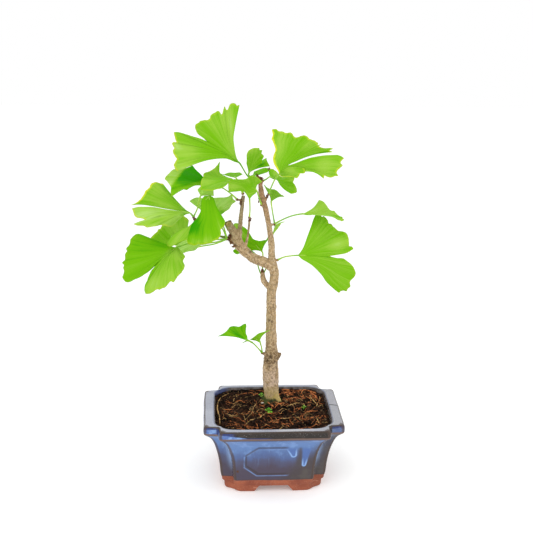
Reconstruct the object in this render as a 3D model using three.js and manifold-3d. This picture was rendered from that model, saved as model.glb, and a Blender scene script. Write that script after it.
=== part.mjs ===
// A ginkgo bonsai in its glazed pot: fired pot, drainage nets, soil, trunk, leaf sprays and seedlings.
// Millimetres, +Z up, the pot's long side along X and its front towards -Y. Every point is given from the
// middle of the pot's foot; the last lines move the whole plant so that the origin is under the middle
// of its bounding box.

import * as THREE from 'three';
import { mergeVertices } from 'three/addons/utils/BufferGeometryUtils.js';
import Module from 'manifold-3d';

const wasm = await Module();
wasm.setup();

// ---------- driving dimensions ----------

const POT = {
  length: 150, // outside the rim, along X
  width: 124, // outside the rim, along Y
  height: 77,
  lipThickness: 10,
  floorTop: 14,
  footHeight: 7.3, // clear height under the foot arches
  taper: 0.62, // how much the half-width shrinks for each mm that the half-length shrinks
  bow: 0.5, // how far the middle third of each side stands out
};
const PANEL = { centreX: -1.5, halfWidth: 30.5, bottom: 21.5, top: 53.6, cutX: 14, cutZ: 8, bead: 1.1 };
const DRAIN = { x: 27, radius: 6.5 };
const NET = { size: 22, bar: 1.5, thickness: 1.0, holes: 3 };
const SOIL = { edge: 72, mound: 8, moundRadius: 42 };
const TRUNK_FOOT = new THREE.Vector3(1, 17, 80); // where the bark meets the soil
const GAP = 0.4; // kept between pieces that touch
const BLADE = 0.8; // thickness of a leaf blade
const STALK = 0.85; // radius of a leaf stalk

// ---------- geometry helpers ----------

const UP = new THREE.Vector3(0, 0, 1);
const vec = ([x, y, z]) => new THREE.Vector3(x, y, z);
const smooth = (points) => new THREE.CatmullRomCurve3(points, false, 'centripetal');

// Closes a stack of equal rings of points with side faces, and each end with a fan to its own middle.
function loft(rings, firstMiddle, lastMiddle) {
  const count = rings[0].length;
  const points = rings.flat();
  const faces = [];
  for (let r = 0; r < rings.length - 1; r++) {
    for (let i = 0; i < count; i++) {
      const a = r * count + i;
      const b = r * count + ((i + 1) % count);
      faces.push(a, b, b + count, a, b + count, a + count);
    }
  }
  const bottom = points.push(firstMiddle) - 1;
  const top = points.push(lastMiddle) - 1;
  const lastRing = (rings.length - 1) * count;
  for (let i = 0; i < count; i++) {
    const next = (i + 1) % count;
    faces.push(bottom, next, i);
    faces.push(top, lastRing + i, lastRing + next);
  }
  return new THREE.BufferGeometry().setFromPoints(points).setIndex(faces);
}

function middleOf(points) {
  return points.reduce((sum, p) => sum.add(p), new THREE.Vector3()).divideScalar(points.length);
}

// The rings of a round limb along a curve, thick at the radii given, turned as little as possible.
function limbRings(curve, radii, sides, steps) {
  const rings = [];
  let across = null;
  for (let i = 0; i <= steps; i++) {
    const t = i / steps;
    const centre = curve.getPoint(t);
    const along = curve.getTangent(t);
    if (!across) {
      across = Math.abs(along.z) > 0.8 ? new THREE.Vector3(1, 0, 0) : UP.clone();
    }
    across = across.clone().addScaledVector(along, -across.dot(along)).normalize();
    const side = along.clone().cross(across);
    const place = t * (radii.length - 1);
    const low = Math.min(Math.floor(place), radii.length - 2);
    const radius = THREE.MathUtils.lerp(radii[low], radii[low + 1], place - low);
    const ring = [];
    for (let k = 0; k < sides; k++) {
      const angle = (k / sides) * 2 * Math.PI;
      const offset = across.clone().multiplyScalar(Math.cos(angle) * radius);
      ring.push(centre.clone().add(offset.addScaledVector(side, Math.sin(angle) * radius)));
    }
    rings.push(ring);
  }
  return rings;
}

function limb(points, radii, sides = 8, steps = Math.round(points.length * 1.4)) {
  const rings = limbRings(smooth(points.map(vec)), radii, sides, steps);
  return loft(rings, middleOf(rings[0]), middleOf(rings.at(-1)));
}

function bud(centre, radius, stretch = [1, 1, 1]) {
  const ball = new THREE.SphereGeometry(radius, 7, 5);
  return ball.scale(...stretch).translate(...centre);
}

function toSolid(geometry) {
  const bare = geometry.clone();
  bare.deleteAttribute('normal');
  bare.deleteAttribute('uv');
  const merged = mergeVertices(bare, 1e-5);
  return new wasm.Manifold(
    new wasm.Mesh({
      numProp: 3,
      vertProperties: new Float32Array(merged.attributes.position.array),
      triVerts: new Uint32Array(merged.index.array),
    }),
  );
}

// Joins solids into one, and fills any small void that the join has sealed in.
function joined(geometries) {
  const sum = geometries.map(toSolid).reduce((whole, next) => whole.add(next));
  const shells = sum.decompose().filter((shell) => shell.volume() > 0);
  return shells.reduce((whole, next) => whole.add(next));
}

function toGeometry(solid) {
  const mesh = solid.getMesh();
  const geometry = new THREE.BufferGeometry();
  geometry.setAttribute('position', new THREE.BufferAttribute(mesh.vertProperties, mesh.numProp));
  geometry.setIndex(new THREE.BufferAttribute(mesh.triVerts, 1));
  geometry.computeVertexNormals();
  return geometry;
}

const plant = new THREE.Group();

function addPiece(name, solid, colour, roughness) {
  const material = new THREE.MeshStandardMaterial({ color: colour, roughness, metalness: 0 });
  const mesh = new THREE.Mesh(toGeometry(solid), material);
  mesh.name = name;
  plant.add(mesh);
  return mesh;
}

// ---------- pot ----------

// Half-length of the outside at each height, from the foot's bottom edge to the top of the rim.
const OUTSIDE = [
  [0, 51],
  [1.2, 52.4],
  [8.6, 53.4],
  [9.6, 55.2],
  [14.4, 55.9],
  [15.2, 56.6],
  [31.6, 58.4],
  [43.7, 60.8],
  [56.2, 65],
  [61.7, 68.2],
  [65.3, 72.2],
  [66.4, 73.6],
  [68.2, 75],
  [74.8, 75],
  [76.5, 74.2],
  [77, 72.8],
];
// Half-length and half-width of the inside, from the rim's flat top down to the floor.
const INSIDE = [
  [77, 63.6, 55.2],
  [76.2, 62.3, 54],
  [60, 60, 50.5],
  [44, 55, 47],
  [28, 52, 45],
  [17, 50, 43.5],
  [POT.floorTop, 47, 40.5],
];
const halfWidthAt = (halfLength) => POT.width / 2 - POT.taper * (POT.length / 2 - halfLength);

// One ring of the pot: a rectangle with slightly bowed sides whose corners step in, each of their three
// bends rounded.
// inset says how far the middle bend goes into the corner, from 0.5 for a plain chamfer to 1 for a step.
function potRing(z, halfLength, halfWidth, stepX, stepY, inset, round) {
  const corner = [
    [halfLength, halfWidth - stepY],
    [halfLength - stepX * inset, halfWidth - stepY * inset],
    [halfLength - stepX, halfWidth],
  ];
  const quarters = [
    corner,
    corner.map(([x, y]) => [-x, y]).reverse(),
    corner.map(([x, y]) => [-x, -y]),
    corner.map(([x, y]) => [x, -y]).reverse(),
  ];
  const bends = quarters.flat().map(([x, y]) => new THREE.Vector2(x, y));
  const ring = [];
  bends.forEach((bend, i) => {
    const before = bends[(i + bends.length - 1) % bends.length];
    const after = bends[(i + 1) % bends.length];
    const start = bend.clone().addScaledVector(before.clone().sub(bend).normalize(), round);
    const end = bend.clone().addScaledVector(after.clone().sub(bend).normalize(), round);
    const outline = new THREE.QuadraticBezierCurve(start, bend, end).getPoints(2);
    if (i % 3 === 2) {
      const side = after.clone().sub(bend);
      const outward = new THREE.Vector2(side.y, -side.x).setLength(POT.bow);
      outline.push(bend.clone().addScaledVector(side, 1 / 3).add(outward));
      outline.push(bend.clone().addScaledVector(side, 2 / 3).add(outward));
    }
    ring.push(...outline.map((p) => new THREE.Vector3(p.x, p.y, z)));
  });
  return ring;
}

function outsideRing([z, halfLength]) {
  const rise = z / POT.height;
  const stepX = 13.2 + 3.6 * rise;
  const stepY = 9.5 + 4.5 * rise;
  return potRing(z, halfLength, halfWidthAt(halfLength), stepX, stepY, 0.9, 2.4);
}

function insideRing([z, halfLength, halfWidth], shrink = 0) {
  return potRing(z, halfLength - shrink, halfWidth - shrink, 16, 17.5, 0.5, 4);
}

function outsideHalfLengthAt(z) {
  const above = OUTSIDE.findIndex(([height]) => height >= z);
  const [z0, a0] = OUTSIDE[above - 1];
  const [z1, a1] = OUTSIDE[above];
  return THREE.MathUtils.lerp(a0, a1, (z - z0) / (z1 - z0));
}

// A raised bead round a panel with cut corners, half sunk in one wall. wall(s, z) gives the wall's point.
function panelBead(centre, halfWidth, cutX, margin, wall) {
  const { cutZ, bead } = PANEL;
  const [bottom, top] = [PANEL.bottom + margin, PANEL.top - margin];
  const corners = [
    [-halfWidth + cutX, bottom],
    [halfWidth - cutX, bottom],
    [halfWidth, bottom + cutZ],
    [halfWidth, top - cutZ],
    [halfWidth - cutX, top],
    [-halfWidth + cutX, top],
    [-halfWidth, top - cutZ],
    [-halfWidth, bottom + cutZ],
  ];
  const middleZ = (bottom + top) / 2;
  const ringAt = ([s, z]) => {
    const outward = new THREE.Vector2(s, z - middleZ).normalize();
    const across = outward.multiplyScalar(bead);
    return [
      wall(centre + s + across.x, z + across.y, -0.5),
      wall(centre + s, z, 0.9),
      wall(centre + s - across.x, z - across.y, -0.5),
      wall(centre + s, z, -1.5),
    ];
  };
  const rings = corners.map(ringAt);
  const points = rings.flat();
  const faces = [];
  for (let r = 0; r < rings.length; r++) {
    for (let k = 0; k < 4; k++) {
      const a = r * 4 + k;
      const b = r * 4 + ((k + 1) % 4);
      const c = ((r + 1) % rings.length) * 4 + ((k + 1) % 4);
      const d = ((r + 1) % rings.length) * 4 + k;
      faces.push(a, b, c, a, c, d);
    }
  }
  const solid = toSolid(new THREE.BufferGeometry().setFromPoints(points).setIndex(faces));
  return solid;
}

// A tunnel under the pot between two feet, wide at the ground and narrower at its roof, along Y.
function footArch(atGround, atRoof, length) {
  const outline = new THREE.Shape([
    new THREE.Vector2(-atGround, -1),
    new THREE.Vector2(atGround, -1),
    new THREE.Vector2(atGround, 0.6),
    new THREE.Vector2(atRoof + 1.5, POT.footHeight - 1.2),
    new THREE.Vector2(atRoof, POT.footHeight),
    new THREE.Vector2(-atRoof, POT.footHeight),
    new THREE.Vector2(-atRoof - 1.5, POT.footHeight - 1.2),
    new THREE.Vector2(-atGround, 0.6),
  ]);
  const arch = new THREE.ExtrudeGeometry(outline, { depth: length, bevelEnabled: false, steps: 1 });
  return arch.rotateX(Math.PI / 2).translate(0, length / 2, 0);
}

function drainHole(x) {
  const hole = new THREE.CylinderGeometry(DRAIN.radius, DRAIN.radius, 20, 20);
  return hole.rotateX(Math.PI / 2).translate(x, 0, POT.floorTop - 5);
}

function makePot() {
  const rings = [...OUTSIDE.map(outsideRing), ...INSIDE.map((level) => insideRing(level))];
  const floor = new THREE.Vector3(0, 0, POT.floorTop);
  let pot = toSolid(loft(rings, new THREE.Vector3(0, 0, 0), floor));
  const bowed = (s, reach) => POT.bow * THREE.MathUtils.clamp((1 - Math.abs(s) / reach) * 1.5, 0, 1);
  const frontAt = (s, z) => halfWidthAt(outsideHalfLengthAt(z)) + bowed(s, 45);
  const sideAt = (s, z) => outsideHalfLengthAt(z) + bowed(s, 41);
  const front = (s, z, out) => new THREE.Vector3(s, -frontAt(s, z) - out, z);
  const back = (s, z, out) => new THREE.Vector3(-s, frontAt(s, z) + out, z);
  const right = (s, z, out) => new THREE.Vector3(sideAt(s, z) + out, s, z);
  const left = (s, z, out) => new THREE.Vector3(-sideAt(s, z) - out, -s, z);
  const sideHalfWidth = 24;
  pot = pot.add(panelBead(PANEL.centreX, PANEL.halfWidth, PANEL.cutX, 0, front));
  pot = pot.add(panelBead(PANEL.centreX, PANEL.halfWidth, PANEL.cutX, 0, back));
  pot = pot.add(panelBead(0, sideHalfWidth, PANEL.cutX * 0.8, 0.8, right));
  pot = pot.add(panelBead(0, sideHalfWidth, PANEL.cutX * 0.8, 0.8, left));
  pot = pot.subtract(toSolid(footArch(22, 15.6, 130)));
  pot = pot.subtract(toSolid(footArch(18, 12, 140).rotateZ(Math.PI / 2)));
  const well = new THREE.BoxGeometry(80, 72, POT.footHeight + 1);
  pot = pot.subtract(toSolid(well.translate(0, 0, (POT.footHeight - 1) / 2)));
  for (const x of [-DRAIN.x, DRAIN.x]) {
    pot = pot.subtract(toSolid(drainHole(x)));
  }
  return pot;
}

addPiece('pot', makePot(), 0x5a78b8, 0.2);

// ---------- drainage nets ----------

// A square plastic net over each drain hole, under the soil.
function makeNet(x) {
  const middleZ = POT.floorTop + GAP + NET.thickness / 2;
  const sheet = new THREE.BoxGeometry(NET.size, NET.size, NET.thickness).translate(x, 0, middleZ);
  const pitch = (NET.size - NET.bar) / NET.holes;
  const hole = pitch - NET.bar;
  let net = toSolid(sheet);
  for (let i = 0; i < NET.holes; i++) {
    for (let j = 0; j < NET.holes; j++) {
      const holeX = x + (i - (NET.holes - 1) / 2) * pitch;
      const holeY = (j - (NET.holes - 1) / 2) * pitch;
      const gap = new THREE.BoxGeometry(hole, hole, NET.thickness * 3).translate(holeX, holeY, middleZ);
      net = net.subtract(toSolid(gap));
    }
  }
  return net;
}

addPiece('drain_net_left', makeNet(-DRAIN.x), 0x222222, 0.7);
addPiece('drain_net_right', makeNet(DRAIN.x), 0x222222, 0.7);

// ---------- trunk and branches ----------

// Each limb: its name, the points of its middle line, its radius along it, and its sides.
const LIMBS = {
  trunk: {
    line: [
      [0, 17, 50], [0.5, 17, 66], [1, 17, 80], [-0.4, 17, 98], [-0.6, 17, 110], [-0.8, 17, 123],
      [-0.1, 17, 134],
      [-0.4, 17, 146], [-0.7, 17, 158], [-1, 17, 183], [-0.8, 17, 206], [1.3, 17, 217], [1.9, 17, 225],
      [0.9, 17, 232], [-1.6, 17, 241],
    ],
    radii: [6.5, 7.6, 8, 8, 8.1, 7.4, 7.4, 6.5, 5.9, 5.5, 5.2, 5, 5, 5, 4.6],
    sides: 12,
  },
  rootFlare: { line: [[1, 17, 90], [5, 13, 83], [9, 9, 76]], radii: [4, 3.4, 1.8], sides: 6 },
  leftBranch: {
    line: [
      [-0.2, 17, 231.3], [-7.1, 17, 237.2], [-15.8, 17, 240.9], [-23.1, 17, 244.6], [-30.3, 17, 251],
      [-35.8, 17, 257.2], [-39, 17, 264.8], [-42.4, 17, 272], [-45.8, 17, 277.4], [-48.8, 17, 283.3],
    ],
    radii: [4.5, 5.5, 5.5, 5.2, 5.5, 5.6, 5.5, 4.7, 4.4, 4],
    sides: 9,
  },
  rightBranch: {
    line: [
      [-0.5, 17, 236], [-1.2, 17, 247], [-1.6, 17, 257], [-3.5, 17, 272], [-6.2, 17, 287], [-9, 17, 299],
      [-12.4, 17, 311], [-13.9, 17, 320], [-15, 14.5, 327], [-17, 13, 331],
    ],
    radii: [4.2, 3.8, 3.6, 3, 2.8, 2.7, 2.5, 2.3, 1.5, 1.2],
    sides: 8,
  },
  stub: {
    line: [[1, 18, 206], [-5, 19.5, 211], [-9.8, 20.6, 218], [-10.8, 21.4, 226]],
    radii: [2.8, 3, 3.1, 2.2],
    sides: 7,
  },
  greyTwig: {
    line: [
      [-37.3, 17, 260.5], [-36.1, 17, 268.6], [-35.3, 17, 278.5], [-34.1, 17, 292.6],
      [-32.1, 17, 311.2],
    ],
    radii: [3.4, 3, 2.4, 2.1, 1.9],
    sides: 7,
  },
  shortTwig: {
    line: [[-30.4, 17, 253.5], [-27.6, 17, 265], [-26.2, 17, 275], [-25.4, 17, 285]],
    radii: [1.9, 1.4, 1.1, 1.2],
    sides: 6,
  },
  hiddenTwig: {
    line: [[-40, 19, 261], [-49, 20.6, 265], [-58, 20, 267], [-70, 18, 279], [-83.6, 13, 287.4]],
    radii: [1.8, 1.5, 1.3, 1.2, 1.2],
    sides: 6,
  },
  spurB: { line: [[-10.4, 17, 304], [-8.6, 16.6, 308], [-7.6, 16.4, 311]], radii: [1.4, 1.5, 0.9], sides: 6 },
  spurC: { line: [[-5, 17, 277], [-2.6, 17.8, 279], [-1.2, 18.4, 280]], radii: [1.6, 1.6, 1.1], sides: 6 },
  spurD: { line: [[-11, 17, 304], [-14.6, 17, 307], [-16.8, 17, 308.4]], radii: [1.3, 1, 0.6], sides: 5 },
  spurG: {
    line: [[-39.5, 16, 259.6], [-44.6, 16.2, 263], [-47, 16, 264.8]],
    radii: [3.2, 2.8, 1.6],
    sides: 6,
  },
  nodeLeft: { line: [[-3, 16, 131], [-6.8, 14.4, 133.6], [-8.6, 13.6, 135]], radii: [2, 2, 1.3], sides: 6 },
  nodeRight: { line: [[3, 17, 124], [7, 16.6, 129.6], [9.6, 16.4, 134]], radii: [3, 2.4, 1.4], sides: 6 },
  budTwig: {
    line: [[-25.4, 17, 284], [-23.6, 16.8, 286.4], [-22.2, 16.6, 286.8]],
    radii: [0.8, 0.7, 0.5],
    sides: 5,
  },
};
const BUDS = [
  { at: [-17.8, 12.8, 331.8], radius: 1.7, stretch: [1.2, 1, 1] },
  { at: [-15, 13, 330.6], radius: 1.8, stretch: [1, 1, 1] },
  { at: [-7.4, 16.4, 310.6], radius: 1.2, stretch: [0.9, 0.9, 1.3] },
  { at: [-10.9, 21.6, 227.4], radius: 1.8, stretch: [1, 1, 1.4] },
  { at: [-25.6, 17, 285.2], radius: 1.3, stretch: [1, 1, 1] },
  { at: [-34.8, 16.4, 305.8], radius: 1.2, stretch: [1.2, 1, 1] },
  { at: [-35, 16.4, 302], radius: 1.1, stretch: [1.3, 1, 0.8] },
  { at: [-45.6, 16, 268.4], radius: 1.9, stretch: [1, 1, 1.3] },
  { at: [-84, 12.6, 287.6], radius: 1.5, stretch: [1, 1, 1] },
];

function makeTrunk() {
  const pieces = Object.values(LIMBS).map(({ line, radii, sides }) => limb(line, radii, sides));
  pieces.push(...BUDS.map(({ at, radius, stretch }) => bud(at, radius, stretch)));
  return joined(pieces);
}

// The stretch of wood below and just above the soil, thicker by the gap, which leaves its own plain hole.
function trunkHole() {
  const grown = ({ line, radii, sides }, wanted) =>
    limb(line.slice(0, wanted), radii.slice(0, wanted).map((radius) => radius + GAP), sides);
  const bottom = new THREE.CylinderGeometry(7, 7, 4, 12).rotateX(Math.PI / 2).translate(0, 17, 50.5);
  return joined([grown(LIMBS.trunk, 5), grown(LIMBS.rootFlare, 3), bottom]);
}

addPiece('trunk', makeTrunk(), 0xa8926f, 0.8);

// ---------- soil ----------

const lumps = (x, y) =>
  0.7 * Math.sin(x * 0.55 + 1.3 * Math.sin(y * 0.31)) * Math.cos(y * 0.62 + Math.sin(x * 0.23)) +
  0.5 * Math.sin(x * 0.21 - y * 0.34 + 2);

function soilTop(x, y) {
  const away = Math.hypot(x - TRUNK_FOOT.x, (y - TRUNK_FOOT.y) * 1.1) / SOIL.moundRadius;
  return SOIL.edge + SOIL.mound * Math.exp(-away * away * 1.6) + lumps(x, y);
}

// The levels of the pot's inside that the soil fills, and one at the soil's own edge.
function soilLevels() {
  const edge = INSIDE.findIndex(([z]) => z < SOIL.edge);
  const [z0, a0, b0] = INSIDE[edge - 1];
  const [z1, a1, b1] = INSIDE[edge];
  const t = (SOIL.edge - z0) / (z1 - z0);
  const lerp = THREE.MathUtils.lerp;
  return [[SOIL.edge, lerp(a0, a1, t), lerp(b0, b1, t)], ...INSIDE.slice(edge)].reverse();
}

function makeSoil() {
  const levels = soilLevels();
  const sides = levels.map((level, i) => {
    const ring = insideRing(level, GAP * 1.5);
    return i === 0 ? ring.map((p) => p.setZ(p.z + GAP * 1.5)) : ring;
  });
  const rim = sides.pop();
  const turns = 9;
  for (let k = turns; k >= 1; k--) {
    sides.push(rim.map((p) => {
      const x = (p.x * k) / turns;
      const y = (p.y * k) / turns;
      return new THREE.Vector3(x, y, soilTop(x, y));
    }));
  }
  const crown = new THREE.Vector3(0, 0, soilTop(0, 0));
  let soil = toSolid(loft(sides, middleOf(sides[0]), crown));
  soil = soil.subtract(trunkHole());
  for (const x of [-DRAIN.x, DRAIN.x]) {
    const room = NET.size + 2 * GAP;
    const pocket = new THREE.BoxGeometry(room, room, 4 + NET.thickness + 2 * GAP);
    soil = soil.subtract(toSolid(pocket.translate(x, 0, POT.floorTop - 2 + (NET.thickness + 2 * GAP) / 2)));
  }
  for (const { at } of SEEDLINGS) {
    const hole = new THREE.CylinderGeometry(1.3, 1.3, 14, 10).rotateX(Math.PI / 2);
    soil = soil.subtract(toSolid(hole.translate(at[0], at[1], soilTop(...at))));
  }
  return soil;
}

// ---------- seedlings ----------

// Young weeds that stand in the soil: place on the soil, height, and the turn of the first leaf.
const SEEDLINGS = [
  { at: [-3, -10], height: 5.5, turn: 20, leaves: 4 },
  { at: [36, -2], height: 3.5, turn: 80, leaves: 3 },
  { at: [-10, 24], height: 4.5, turn: 140, leaves: 3 },
];

function makeSeedling({ at, height, turn, leaves }) {
  const foot = soilTop(...at);
  const stem = limb([[...at, foot - 5], [...at, foot], [...at, foot + height]], [0.6, 0.6, 0.7], 6, 3);
  const pieces = [stem];
  for (let k = 0; k < leaves; k++) {
    const leaf = new THREE.SphereGeometry(1, 7, 4).scale(2.1, 1.3, 0.55).translate(2.1, 0, 0);
    leaf.rotateY(-0.35).rotateZ(THREE.MathUtils.degToRad(turn + (k * 360) / leaves));
    pieces.push(leaf.translate(at[0], at[1], foot + height - 0.3));
  }
  return joined(pieces);
}

addPiece('soil', makeSoil(), 0x3a2418, 0.95);
SEEDLINGS.forEach((seedling, i) => {
  addPiece(`seedling_${i + 1}`, makeSeedling(seedling), 0x4fae2c, 0.6);
});

// ---------- leaves ----------

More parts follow.
